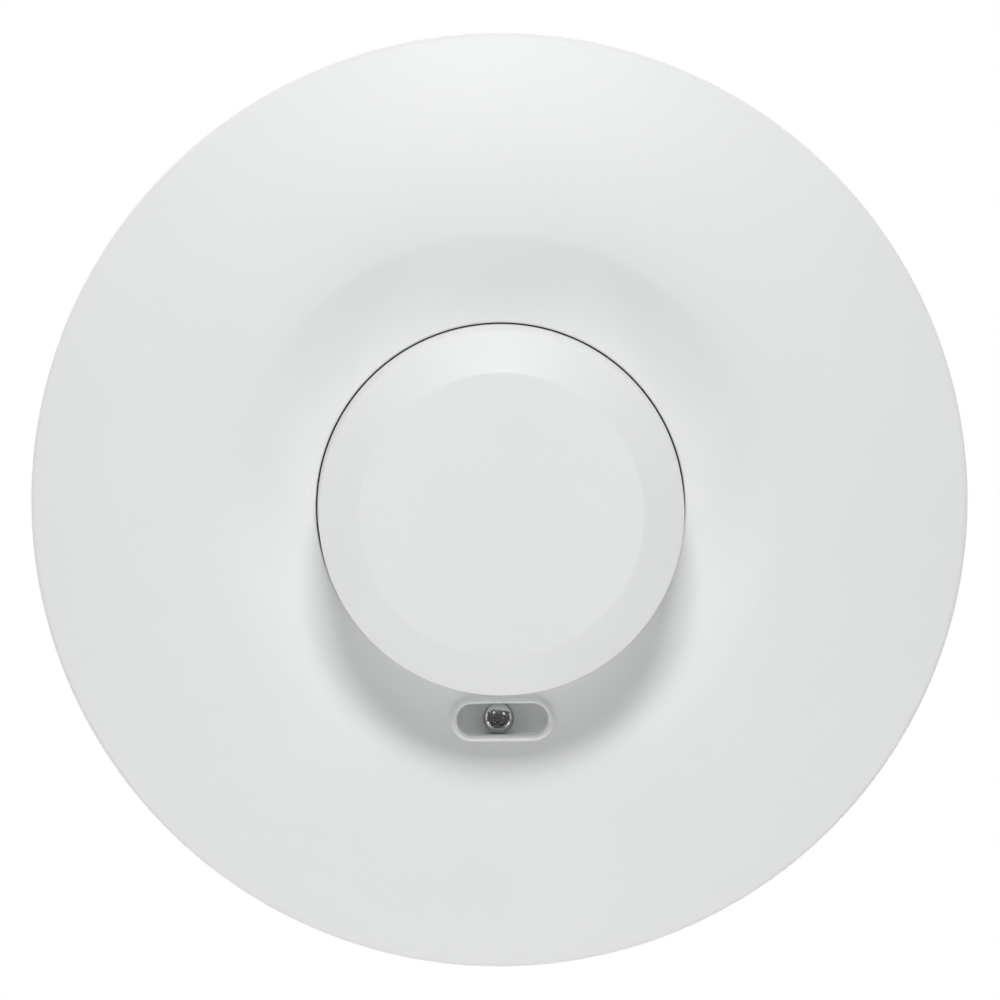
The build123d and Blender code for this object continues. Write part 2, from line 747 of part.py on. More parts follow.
# ---------------------------------------------------------------- parts on the sensor board
def make_trimmers():
    """Bodies of the three setting potentiometers and the dials that turn in them."""
    with BuildPart() as bodies:
        with BuildSketch(Plane.XY.offset(sensor_top + head_gap)):
            with Locations(*dial_places.values()):
                RectangleRounded(trimmer_size, trimmer_size, trimmer_corner)
        extrude(amount=trimmer_height - head_gap)
        with BuildSketch(Plane.XY.offset(trimmer_top)):
            with Locations(*dial_places.values()):
                Circle(dial_shaft_radius + shaft_gap)
        extrude(amount=-(trimmer_height - trimmer_floor), mode=Mode.SUBTRACT)
    save(bodies, "trimmer_bodies")

    for name, place in dial_places.items():
        with BuildPart() as dial:
            with BuildSketch(Plane.XY.offset(trimmer_top + free_gap)):
                with Locations(place):
                    Circle(dial_radius)
            extrude(amount=dial_thickness)
            chamfer(dial.edges().group_by(Axis.Z)[-1], dial_chamfer)
            with BuildSketch(Plane.XY.offset(trimmer_top + free_gap)):
                with Locations(place):
                    Circle(dial_shaft_radius)
            extrude(amount=-(trimmer_height - shaft_end))
            with BuildSketch(Plane.XY.offset(trimmer_top + free_gap + dial_thickness)):
                with Locations(place):
                    Rectangle(dial_slot[0], dial_slot[1])
                with Locations((place[0], place[1] + dial_arrow_reach)):
                    RegularPolygon(dial_arrow_radius, 3, rotation=90)
            extrude(amount=-dial_slot[2], mode=Mode.SUBTRACT)
        save(dial, name)


def make_light_parts():
    """Light cell with its stepped disc and the domed status lamp."""
    with BuildPart() as cell:
        with BuildSketch(Plane.XY.offset(sensor_top + head_gap)):
            with Locations(light_cell_place):
                Circle(light_cell_radius)
        extrude(amount=light_cell_height)
        with BuildSketch(Plane.XY.offset(sensor_top + head_gap + light_cell_height)):
            with Locations(light_cell_place):
                Circle(light_cell_radius - cell_step)
        extrude(amount=cell_step)
    save(cell, "light_cell")

    with BuildPart() as led:
        with BuildSketch(Plane.XY.offset(sensor_top + head_gap)):
            with Locations(led_place):
                Circle(led_radius + led_flange)
        extrude(amount=led_flange_height)
        with BuildSketch(Plane.XY.offset(sensor_top + head_gap + led_flange_height)):
            with Locations(led_place):
                Circle(led_radius)
        extrude(amount=led_height)
        fillet(led.edges().group_by(Axis.Z)[-1], led_radius * led_dome_share)
    save(led, "status_led")


def make_chips():
    """Controller chip under the radar board and the small chip parts beside it."""
    with BuildPart() as controller:
        with BuildSketch(Plane.XY.offset(sensor_top + head_gap)):
            with Locations(controller_place):
                Rectangle(controller_size[0], controller_size[1])
        extrude(amount=controller_size[2])
        chamfer(controller.edges().group_by(Axis.Z)[-1], controller_chamfer)
    save(controller, "microcontroller")

    with BuildPart() as chips:
        with BuildSketch(Plane.XY.offset(sensor_top + head_gap)):
            with Locations(*chip_places):
                Rectangle(chip_size[0], chip_size[1])
        extrude(amount=chip_size[2])
    save(chips, "chip_parts")


def make_radar():
    """Radar board on its header, shield can under it and copper antenna patches on top."""
    with BuildPart() as board:
        with BuildSketch(Plane.XY.offset(radar_bottom)):
            with Locations((0, radar_centre_y)):
                RectangleRounded(radar_width, radar_depth, radar_corner)
            with Locations(*radar_pin_places):
                Circle(pin_radius + shaft_gap, mode=Mode.SUBTRACT)
        extrude(amount=radar_thickness)
    save(board, "radar_board")

    with BuildPart() as header:
        with BuildSketch(Plane.XY.offset(sensor_top + head_gap)):
            with Locations((0, radar_pin_y)):
                Rectangle(link_pitch * radar_pin_count, link_pitch)
            with Locations(*radar_pin_places):
                Circle(pin_radius + shaft_gap, mode=Mode.SUBTRACT)
        extrude(amount=radar_gap - 2 * head_gap)
    save(header, "radar_header")

    with BuildPart() as pins:
        with BuildSketch(Plane.XY.offset(sensor_bottom - pin_proud / 2)):
            with Locations(*radar_pin_places):
                Circle(pin_radius)
        extrude(amount=radar_top - sensor_bottom + pin_proud)
    save(pins, "radar_pins")

    with BuildPart() as shield:
        with BuildSketch(Plane.XY.offset(radar_bottom - head_gap)):
            with Locations((0, shield_y)):
                RectangleRounded(shield_width, shield_depth, shield_corner)
        extrude(amount=-shield_height)
        with BuildSketch(Plane.XY.offset(radar_bottom - head_gap)):
            with Locations((0, shield_y)):
                RectangleRounded(
                    shield_width - 2 * shield_wall, shield_depth - 2 * shield_wall,
                    shield_corner - shield_wall,
                )
        extrude(amount=-(shield_height - shield_wall), mode=Mode.SUBTRACT)
    save(shield, "radar_shield")

    with BuildPart() as antenna:
        with BuildSketch(Plane.XY.offset(radar_top + head_gap)):
            with Locations((0, patch_y)):
                with GridLocations(patch_spacing, 1, 2, 1):
                    Rectangle(patch_size, patch_size)
                Rectangle(patch_spacing, patch_line_width)
        extrude(amount=copper_thickness)
    save(antenna, "radar_antenna")


make_rear_base()
make_cable_grommet()
make_front_cover()
make_cover_screw()
make_sensor_cap()
make_inner_carrier()
make_power_board()
make_sensor_board()
make_screw_sets()
make_terminal_block()
make_block("relay", relay_place, relay_size)
make_block("film_capacitor", film_place, film_size)
make_block("bridge_rectifier", bridge_place, bridge_size)
make_block("voltage_regulator", regulator_place, regulator_size)
make_can("electrolytic_capacitors", electrolytic_places, electrolytic_size)
make_can("fuse", [fuse_place], fuse_size)
make_varistor()
make_choke()
make_resistors()
make_link()
make_trimmers()
make_light_parts()
make_chips()
make_radar()
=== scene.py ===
# %% [markdown]
# # A round motion sensor
# This lesson dresses a imported CAD model of a surface-mount motion sensor for a render. The sensor is a
# white moulded cover with a convex brim, a level ring inside it and a raised cap in the middle. Under them
# are two circuit boards on a rear pan. The CAD frame gives every size and place, so the first step loads it
# and keeps its box, to set beside the finished model's box at the end.

# %% Load the frame
import math

import bpy
import numpy as np
from mathutils import Matrix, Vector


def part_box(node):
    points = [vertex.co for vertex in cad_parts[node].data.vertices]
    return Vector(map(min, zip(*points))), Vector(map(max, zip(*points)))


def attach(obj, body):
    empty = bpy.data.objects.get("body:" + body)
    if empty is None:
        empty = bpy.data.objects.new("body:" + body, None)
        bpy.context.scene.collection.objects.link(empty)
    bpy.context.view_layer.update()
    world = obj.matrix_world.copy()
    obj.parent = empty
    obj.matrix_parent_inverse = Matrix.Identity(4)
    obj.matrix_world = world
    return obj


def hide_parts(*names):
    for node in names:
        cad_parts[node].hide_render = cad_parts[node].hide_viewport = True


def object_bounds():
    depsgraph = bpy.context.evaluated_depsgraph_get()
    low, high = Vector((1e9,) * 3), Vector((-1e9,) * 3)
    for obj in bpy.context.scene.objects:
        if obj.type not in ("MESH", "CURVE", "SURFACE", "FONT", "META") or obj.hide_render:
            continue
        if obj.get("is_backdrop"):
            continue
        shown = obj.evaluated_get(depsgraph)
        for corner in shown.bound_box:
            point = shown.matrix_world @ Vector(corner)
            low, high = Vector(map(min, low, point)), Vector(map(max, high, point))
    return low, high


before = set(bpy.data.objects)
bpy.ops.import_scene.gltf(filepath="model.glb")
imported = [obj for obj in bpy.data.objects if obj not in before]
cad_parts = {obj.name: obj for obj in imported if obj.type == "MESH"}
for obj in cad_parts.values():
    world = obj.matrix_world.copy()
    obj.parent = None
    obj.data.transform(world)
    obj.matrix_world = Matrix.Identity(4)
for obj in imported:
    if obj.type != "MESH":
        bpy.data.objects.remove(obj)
cad_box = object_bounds()
MM = 0.001
print("CAD nodes:", len(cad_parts))

# %% [markdown]
# ## Camera and light
# The sensor lies on its back and the camera looks down on its face, tipped a few degrees towards the top.
# The camera's distance sets how much the raised cap grows against the rim, so it comes first, and the lens
# follows from the width that has to fit.

# %% Camera
CAMERA_DISTANCE = 600 * MM
CAMERA_TILT = math.radians(4.3)      # towards the top of the sensor
CAMERA_SIDE = math.radians(0.6)      # towards its left
CAMERA_ROLL = math.radians(0.5)      # clockwise
VIEW_HALF_WIDTH = 64.02 * MM
SENSOR_WIDTH = 36.0
AIM = np.array([0.0, 0.45, 15.0]) * MM    # at the height of the rim

back = np.array([-math.sin(CAMERA_SIDE), math.sin(CAMERA_TILT), 1.0])
back /= np.linalg.norm(back)
right = np.cross([math.sin(CAMERA_ROLL), math.cos(CAMERA_ROLL), 0.0], back)
right /= np.linalg.norm(right)

camera = bpy.data.objects.new("camera", bpy.data.cameras.new("camera"))
bpy.context.scene.collection.objects.link(camera)
camera.data.sensor_width = SENSOR_WIDTH
camera.data.lens = SENSOR_WIDTH / 2 * CAMERA_DISTANCE / VIEW_HALF_WIDTH
camera.data.clip_start = 0.01
camera.location = AIM + back * CAMERA_DISTANCE
camera.rotation_euler = Matrix(np.column_stack([right, np.cross(back, right), back]).tolist()).to_euler()
bpy.context.scene.camera = camera
bpy.context.scene.view_settings.view_transform = "Standard"
print("lens", round(camera.data.lens, 1), "mm")

# %% [markdown]
# Every colour below is written as the sRGB hex value that a designer would read off a swatch. Blender mixes
# light in linear values, so one function turns the one into the other. A second small function adds a node
# to a material, sets its sockets and joins its inputs, so that a whole material reads as a short list.

# %% Colour and node helpers
def linear(hex_colour):
    """Linear RGBA of an sRGB hex colour: each channel through the sRGB curve, alpha 1."""
    channels = [int(hex_colour[i:i + 2], 16) / 255 for i in (1, 3, 5)]
    return [c / 12.92 if c <= 0.04045 else ((c + 0.055) / 1.055) ** 2.4 for c in channels] + [1.0]


def add_node(tree, kind, settings=None, **inputs):
    """Adds a node. settings are its attributes; each input is a value, or (node, output name) to link."""
    node = tree.nodes.new(kind)
    for name, value in (settings or {}).items():
        setattr(node, name, value)
    for name, value in inputs.items():
        key = int(name[1:]) if name[0] == "i" and name[1:].isdigit() else name.replace("_", " ")
        if isinstance(value, tuple) and isinstance(value[0], bpy.types.Node):
            tree.links.new(value[0].outputs[value[1]], node.inputs[key])
        else:
            node.inputs[key].default_value = value
    return node


def new_material(name):
    """An empty node material, and its tree."""
    material = bpy.data.materials.new(name)
    material.use_nodes = True
    material.node_tree.nodes.clear()
    return material, material.node_tree


def finish_material(tree, shader):
    """Joins the last shader to the output."""
    add_node(tree, "ShaderNodeOutputMaterial", Surface=(shader, 0))


# %% [markdown]
# The key is a softbox above the top of the sensor, half way between overhead and the horizon. It is small
# enough to give the cap a clear shadow and wide enough to soften its sides. A ring of large, weak panels
# lower down does the work of pale studio walls: more from the front, less from the sides, and almost nothing
# from overhead, where the camera stands. Metal needs something to mirror, so glossy rays meet a dark grey
# sky. The floor is plain white when it is seen directly, in a gloss or through glass, and is ordinary paper
# to every other ray.

# %% Light and floor
LAMP_DISTANCE = 0.9
# name, angle from the face's normal, turn from the top towards the left, width, height (m), power (W)
LAMPS = [
    ("key_softbox", 46, -0.5, 0.32, 0.20, 5.65),
    ("front_panel", 70, 180, 0.5, 0.5, 2.5),
    ("front_left_panel", 60, 135, 0.5, 0.5, 1.72),
    ("front_right_panel", 60, -135, 0.5, 0.5, 1.60),
    ("left_panel", 70, 90, 0.5, 0.5, 0.76),
    ("right_panel", 70, -90, 0.5, 0.5, 0.58),
    ("overhead_panel", 15, 0, 0.5, 0.5, 0.24),
]
WORLD_STRENGTH = 0.1
GLOSSY_STRENGTH = 0.12
FLOOR_SIZE = 3.0
FLOOR_DROP = 0.05 * MM               # keeps the floor off the pan's underside

world = bpy.data.worlds.new("studio")
bpy.context.scene.world = world
world.use_nodes = True
world.node_tree.nodes.clear()
rays = add_node(world.node_tree, "ShaderNodeLightPath")
dim_sky = add_node(world.node_tree, "ShaderNodeBackground", Color=linear("#FDFDFE"),
                   Strength=WORLD_STRENGTH)
grey_sky = add_node(world.node_tree, "ShaderNodeBackground", Color=linear("#FFFFFF"),
                    Strength=GLOSSY_STRENGTH)
white_sky = add_node(world.node_tree, "ShaderNodeBackground", Color=linear("#FFFFFF"), Strength=1.0)
lit_sky = add_node(world.node_tree, "ShaderNodeMixShader", i0=(rays, "Is Glossy Ray"), i1=(dim_sky, 0),
                   i2=(grey_sky, 0))
sky = add_node(world.node_tree, "ShaderNodeMixShader", i0=(rays, "Is Camera Ray"), i1=(lit_sky, 0),
               i2=(white_sky, 0))
add_node(world.node_tree, "ShaderNodeOutputWorld", Surface=(sky, 0))


def add_lamp(name, angle, turn, width, height, power):
    """Area lamp on a sphere about the sensor, facing its centre."""
    lamp = bpy.data.objects.new(name, bpy.data.lights.new(name, "AREA"))
    bpy.context.scene.collection.objects.link(lamp)
    lamp.data.shape = "RECTANGLE"
    lamp.data.size, lamp.data.size_y, lamp.data.energy = width, height, power
    tip, turn = math.radians(angle), math.radians(turn)
    toward = np.array([-math.sin(turn) * math.sin(tip), math.cos(turn) * math.sin(tip), math.cos(tip)])
    across = np.cross([0.0, 0.0, 1.0], toward)
    across /= np.linalg.norm(across)
    lamp.location = toward * LAMP_DISTANCE
    axes = np.column_stack([across, np.cross(toward, across), toward])
    lamp.rotation_euler = Matrix(axes.tolist()).to_euler()


for lamp in LAMPS:
    add_lamp(*lamp)
print("lamps:", len(LAMPS))

floor_material, tree = new_material("floor_paper")
rays = add_node(tree, "ShaderNodeLightPath")
direct = add_node(tree, "ShaderNodeMath", {"operation": "MAXIMUM"},
                  i0=(rays, "Is Camera Ray"), i1=(rays, "Is Glossy Ray"))
clear = add_node(tree, "ShaderNodeMath", {"operation": "MAXIMUM"},
                 i0=(direct, 0), i1=(rays, "Is Transmission Ray"))
paper = add_node(tree, "ShaderNodeBsdfDiffuse", Color=linear("#F2F2F2"))
glow = add_node(tree, "ShaderNodeEmission", Color=linear("#FFFFFF"), Strength=1.0)
finish_material(tree, add_node(tree, "ShaderNodeMixShader", i0=(clear, 0), i1=(paper, 0), i2=(glow, 0)))
half = FLOOR_SIZE / 2
floor_corners = [(-half, -half, 0), (half, -half, 0), (half, half, 0), (-half, half, 0)]
floor_mesh = bpy.data.meshes.new("floor")
floor_mesh.from_pydata(floor_corners, [], [(0, 1, 2, 3)])
floor = bpy.data.objects.new("floor", floor_mesh)
floor.data.materials.append(floor_material)
floor.location.z = -FLOOR_DROP
bpy.context.scene.collection.objects.link(floor)
floor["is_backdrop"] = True

# %% [markdown]
# ## Plastics
# The cover, the cap and the pan are injection-moulded ABS in a very slightly cool white. The mould was
# spark-eroded, which leaves a fine even grain: it gives the eye no reflections, only a soft bloom with tiny
# flecks in the brightest part. A noise at the real size of the grain drives the bump, and a slow noise
# changes colour and roughness a little, as handling and flow in the mould do.

# %% Moulded plastic
PLASTIC_IOR = 1.5
FLOW_MM = 18                         # size of the slow marks that flow and handling leave


def moulded_plastic(name, colour, roughness, grain_mm, depth_mm, drift=0.03):
    """Plastic with a spark-eroded grain: noise bump at grain_mm, colour drift and roughness drift."""
    material, tree = new_material(name)
    place = add_node(tree, "ShaderNodeTexCoord")
    grain = add_node(tree, "ShaderNodeTexNoise", Vector=(place, "Object"), Scale=1 / (grain_mm * MM),
                     Detail=3.0, Roughness=0.65)
    slow = add_node(tree, "ShaderNodeTexNoise", Vector=(place, "Object"), Scale=1 / (FLOW_MM * MM),
                    Detail=2.0)
    dark = [c * (1 - drift) for c in linear(colour)[:3]] + [1.0]
    tint = add_node(tree, "ShaderNodeMix", {"data_type": "RGBA"}, i0=(slow, 0), i6=dark, i7=linear(colour))
    rough = add_node(tree, "ShaderNodeMapRange", Value=(slow, 0), To_Min=roughness - 0.05,
                     To_Max=roughness + 0.05)
    bump = add_node(tree, "ShaderNodeBump", Height=(grain, 0), Strength=1.0, Distance=depth_mm * MM)
    shader = add_node(tree, "ShaderNodeBsdfPrincipled", Base_Color=(tint, 2), Roughness=(rough, 0),
                      Normal=(bump, 0))
    shader.inputs["IOR"].default_value = PLASTIC_IOR
    finish_material(tree, shader)
    return material


cover_abs = moulded_plastic("white_abs_spark_eroded", "#EBECEC", 0.52, 0.32, 0.012)
cap_abs = moulded_plastic("white_abs_cap_spark_eroded", "#EBECEC", 0.50, 0.30, 0.010)
pan_abs = moulded_plastic("white_abs_pan", "#E6E7E6", 0.55, 0.40, 0.014)
nylon = moulded_plastic("natural_nylon_carrier", "#DDDDD6", 0.45, 0.50, 0.010)
print("plastics:", cover_abs.name, cap_abs.name, pan_abs.name, nylon.name)

# %% [markdown]
# ## Mesh tools
# Each new piece is a surface worked out with numpy and handed to Blender in one go. Nearly all of them are
# one profile of radius and height, turned about an upright axis, so the tools draw profiles: straight lines,
# shallow arcs, and a small round on every corner, because light catches one on every moulded edge. A slot
# with round ends is the only other outline.

# %% Profiles and outlines
def rounded(corners, radii, steps=5):
    """Closed polygon with each corner swapped for an arc: tangent points at r / tan(half angle) from the
    corner, and points between them on the circle about the corner's arc centre."""
    points = np.asarray(corners, float)
    out = []
    for i, radius in enumerate(radii):
        corner, before, after = points[i], points[i - 1], points[(i + 1) % len(points)]
        u = (before - corner) / np.linalg.norm(before - corner)
        v = (after - corner) / np.linalg.norm(after - corner)
        half_angle = math.acos(np.clip(u @ v, -1, 1)) / 2
        if radius <= 0 or half_angle > math.radians(89):
            out.append(corner[None])
            continue
        run = radius / math.tan(half_angle)
        centre = corner + (u + v) / np.linalg.norm(u + v) * radius / math.sin(half_angle)
        a, b = corner + u * run - centre, corner + v * run - centre
        t = np.linspace(0, 1, steps + 1)[:, None]
        opening = math.pi - 2 * half_angle
        out.append(centre + (np.sin((1 - t) * opening) * a + np.sin(t * opening) * b) / math.sin(opening))
    return np.vstack(out)


def arc_between(start, end, bulge, count):
    """Points from start to end on the circle whose middle stands bulge to the left of the chord, or to the
    right if bulge is negative: the circle's radius is (half chord^2 + bulge^2) / 2 bulge."""
    start, end = np.asarray(start, float), np.asarray(end, float)
    chord = end - start
    length = np.linalg.norm(chord)
    normal = np.array([-chord[1], chord[0]]) / length * math.copysign(1, bulge)
    radius = (length ** 2 / 4 + bulge ** 2) / (2 * abs(bulge))
    x = np.linspace(-length / 2, length / 2, count)
    lift = np.sqrt(radius ** 2 - x ** 2) - (radius - abs(bulge))
    return (start + end) / 2 + np.outer(x / length, chord) + np.outer(lift, normal)


def stadium(angles, length, width):
    """Where rays from the middle of a round-ended slot, at these angles, meet its outline."""
    dx, dy = np.cos(angles), np.sin(angles)
    radius, reach = width / 2, (length - width) / 2
    flat = radius / np.maximum(np.abs(dy), 1e-9)
    rounded_end = reach * np.abs(dx) + np.sqrt(np.maximum(radius ** 2 - (reach * dy) ** 2, 0))
    distance = np.where(np.abs(flat * dx) <= reach, flat, rounded_end)
    return np.column_stack([distance * dx, distance * dy])


# %% [markdown]
# A surface is a grid of points. Rows follow the profile and columns go round the axis, so the faces are the
# same simple pattern for every piece. Bezier or modifier tools could turn a profile too, but a grid of known
# rows and columns can be changed afterwards, point by point, to cut a recess or press in a thread.

# %% Meshes
def to_object(name, vertices, faces, material, body, slot, smooth_degrees):
    """Mesh object at the origin, smooth except across edges sharper than smooth_degrees, on its body."""
    mesh = bpy.data.meshes.new(name)
    mesh.from_pydata(np.asarray(vertices, float).tolist(), [], [tuple(f) for f in faces])
    mesh.validate()
    mesh.polygons.foreach_set("use_smooth", np.ones(len(mesh.polygons), bool))
    mesh.set_sharp_from_angle(angle=math.radians(smooth_degrees))
    piece = bpy.data.objects.new(name, mesh)
    bpy.context.scene.collection.objects.link(piece)
    mesh.materials.append(material)
    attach(piece, body)
    print(f"{name}: {len(mesh.polygons)} faces")
    return piece


def grid_faces(rows, columns, close_rows=False):
    """Quads of a rows x columns grid of points whose columns close on themselves."""
    r = np.arange(rows if close_rows else rows - 1)[:, None]
    c = np.arange(columns)[None, :]
    r_next, c_next = (r + 1) % rows, (c + 1) % columns
    corners = [r * columns + c, r * columns + c_next, r_next * columns + c_next, r_next * columns + c]
    return np.stack(np.broadcast_arrays(*corners), -1).reshape(-1, 4)


def join_shapes(shapes):
    """Vertices and faces of several shapes as one list, each shape's faces shifted past the last."""
    vertices, faces, count = [], [], 0
    for points, polygons in shapes:
        vertices.append(np.asarray(points, float))
        faces += [tuple(int(i) + count for i in f) for f in polygons]
        count += len(points)
    return np.vstack(vertices), faces


def turned(profile, centre=(0, 0), count=96):
    """Solid of revolution: a closed profile of (radius, height), listed counter-clockwise, or an open one
    from axis to axis from the bottom up, turned about the upright axis through centre."""
    profile = np.asarray(profile, float)
    on_axis = profile[:, 0] < 1e-9
    angles = np.linspace(0, 2 * math.pi, count, endpoint=False)
    ring = profile[~on_axis]
    points = np.stack([
        centre[0] + ring[:, :1] * np.cos(angles),
        centre[1] + ring[:, :1] * np.sin(angles),
        np.repeat(ring[:, 1:], count, 1),
    ], -1).reshape(-1, 3)
    if not on_axis.any():
        return points, grid_faces(len(ring), count, close_rows=True)
    ends = profile[on_axis]
    faces = [tuple(f) for f in grid_faces(len(ring), count)]
    points = np.vstack([points, [[*centre, ends[0, 1]], [*centre, ends[-1, 1]]]])
    low, high, last = len(points) - 2, len(points) - 1, (len(ring) - 1) * count
    faces += [(low, (i + 1) % count, i) for i in range(count)]
    faces += [(high, last + i, last + (i + 1) % count) for i in range(count)]
    return points, faces


# %% [markdown]
# ## The cover
# The cover is one moulding: a convex brim, a level ring, a hole for the cap, and a slot with a raised
# lip that leads down to the captive screw. Almost all of it is one profile turned about the axis. The slot
# isn't round about that axis, so a sector of the turned grid is left open above it and another below it.
# A stack of loops joins the two openings: it runs over the lip, down the slot's wall, across its floor,
# through the screw hole and back up the outside of the pocket. Because both openings have the same number
# of points, the result is one closed skin with no boolean cut.

# %% Cover sizes, in millimetres
COVER_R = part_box("front_cover")[1].x / MM
CREASE_R, CREASE_Z = 34.5, 21.7
BRIM_BULGE, INNER_BULGE = 0.9, 0.9
RING_FALL = 0.4
RING_Z = CREASE_Z - RING_FALL
RIM_Z, SKIRT = 15.0, 3.0
WALL = 2.0
CAP_GAP = 0.2
CAP_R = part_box("sensor_cap")[1].x / MM
HOLE_R = CAP_R + CAP_GAP
RIM_ROUND, CREASE_ROUND, HOLE_ROUND, SKIRT_ROUND, UNDER_ROUND, LIP_ROUND = 0.9, 7.0, 0.3, 0.35, 0.3, 0.25
SEAT_R, SEAT_Z = 52.0, 15.02
LIP_OUT_R, LIP_IN_R, LIP_Z = 49.7, 48.1, 11.0
SLOT_L, SLOT_W, LIP_W, LIP_RISE = 11.7, 4.1, 0.8, 0.45
SLOT_DEPTH, POCKET_FLOOR, POCKET_WALL = 2.1, 1.4, 1.2
SLOT_FLOOR = RING_Z - SLOT_DEPTH
POCKET_Z = SLOT_FLOOR - POCKET_FLOOR
LIP_EDGE = 0.1                       # round on the lip's inner edge
SCREW_HOLE_R = 1.25
KEY_ANGLES = (65, 115)               # degrees; two keys on the inner lip stop the cover from turning
KEY_HALF = 2                         # degrees
KEY_DEPTH = 1.1
screw_low, screw_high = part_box("cover_screw")
SCREW_X = (screw_low.x + screw_high.x) / 2 / MM
SLOT_Y = (screw_low.y + screw_high.y) / 2 / MM
COLUMNS = 360                        # one degree each
PATCH_HALF = 21                      # degrees each side of the slot
PATCH_ROWS = 12
PATCH_DEPTH = 8.0                    # how far the open sector reaches out from the hole
SLOT_COLUMN = COLUMNS * 3 // 4       # the slot lies towards -Y
print("cover radius", round(COVER_R, 2), "hole radius", round(HOLE_R, 2))

# %% [markdown]
# The skin takes five small functions: the ring's height at a radius, a pick of points by radius, the
# profile, the border of an open sector, and the skin itself. The lip rises from the ring as half a cosine
# wave and ends in a crisp round at the slot, as the edge of a mould's insert leaves it.

# %% Cover skin
def ring_top(radius):
    """Height of the ring: a straight fall from the crease to the hole."""
    return CREASE_Z - (CREASE_R - radius) * RING_FALL / (CREASE_R - HOLE_R)


def between(points, low, high):
    """Those points whose radius lies between low and high."""
    return points[(points[:, 0] > low) & (points[:, 0] < high)]


def cover_profile():
    """Closed counter-clockwise profile: up the skirt, in over brim and ring, down the hole, out underneath.
    Also the rows at which the two open sectors start."""
    top_patch = np.linspace(HOLE_R + PATCH_DEPTH, HOLE_R + 1.1 * HOLE_ROUND, PATCH_ROWS + 1)
    under_patch = np.linspace(HOLE_R + 0.12, HOLE_R + PATCH_DEPTH, PATCH_ROWS + 1)
    brim = arc_between((COVER_R, RIM_Z), (CREASE_R, CREASE_Z), -BRIM_BULGE, 70)
    inner = arc_between((CREASE_R, CREASE_Z - WALL), (COVER_R - WALL, RIM_Z - 0.75 * WALL), INNER_BULGE, 70)

    def corner(r, z, radius):
        return [(r, z, radius)]

    def plain(places):
        return [(r, z, 0) for r, z in places]

    def under_z(r):
        return float(np.interp(r, inner[:, 0], inner[:, 1]))

    under_rim = RIM_Z - 0.75 * WALL
    path = (
        corner(COVER_R, RIM_Z - SKIRT, SKIRT_ROUND) + corner(COVER_R, RIM_Z, RIM_ROUND)
        + plain(between(brim, CREASE_R + 1.4, COVER_R - 0.8)) + corner(CREASE_R, CREASE_Z, CREASE_ROUND)
        + plain([(r, ring_top(r)) for r in top_patch]) + corner(HOLE_R, RING_Z, HOLE_ROUND)
        + corner(HOLE_R, RING_Z - WALL, 0)
        + plain([(r, ring_top(r) - WALL) for r in under_patch]) + corner(CREASE_R, CREASE_Z - WALL, 0)
        + plain(between(inner, CREASE_R + 0.2, LIP_IN_R - 0.2)) + corner(LIP_IN_R, under_z(LIP_IN_R), 0)
        + corner(LIP_IN_R, LIP_Z, LIP_ROUND) + corner(LIP_OUT_R, LIP_Z, LIP_ROUND)
        + corner(LIP_OUT_R, SEAT_Z, 0) + corner(SEAT_R, SEAT_Z, 0.2) + corner(SEAT_R, under_z(SEAT_R), 0)
        + plain(between(inner, SEAT_R + 0.2, COVER_R - WALL - 0.2))
        + corner(COVER_R - WALL, under_rim, UNDER_ROUND) + corner(COVER_R - WALL, RIM_Z - SKIRT, UNDER_ROUND)
    )
    profile = rounded([p[:2] for p in path], [p[2] for p in path], 8)

    def row_at(r, z):
        return int(np.argmin(np.hypot(profile[:, 0] - r, profile[:, 1] - z)))

    top_row = row_at(top_patch[0], ring_top(top_patch[0]))
    under_row = row_at(under_patch[0], ring_top(under_patch[0]) - WALL)
    return profile, top_row, under_row


def border(first_row, last_row):
    """Grid places round the open sector, counter-clockwise from above: outer arc, side, inner arc, side.
    first_row is the outer one."""
    step = 1 if last_row > first_row else -1
    rows = list(range(first_row, last_row + step, step))
    columns = list(range(SLOT_COLUMN - PATCH_HALF, SLOT_COLUMN + PATCH_HALF + 1))
    outer = [(rows[0], c) for c in columns[:-1]]
    right_side = [(r, columns[-1]) for r in rows[:-1]]
    inner = [(rows[-1], c) for c in columns[:0:-1]]
    left_side = [(r, columns[0]) for r in rows[:0:-1]]
    return outer + right_side + inner + left_side


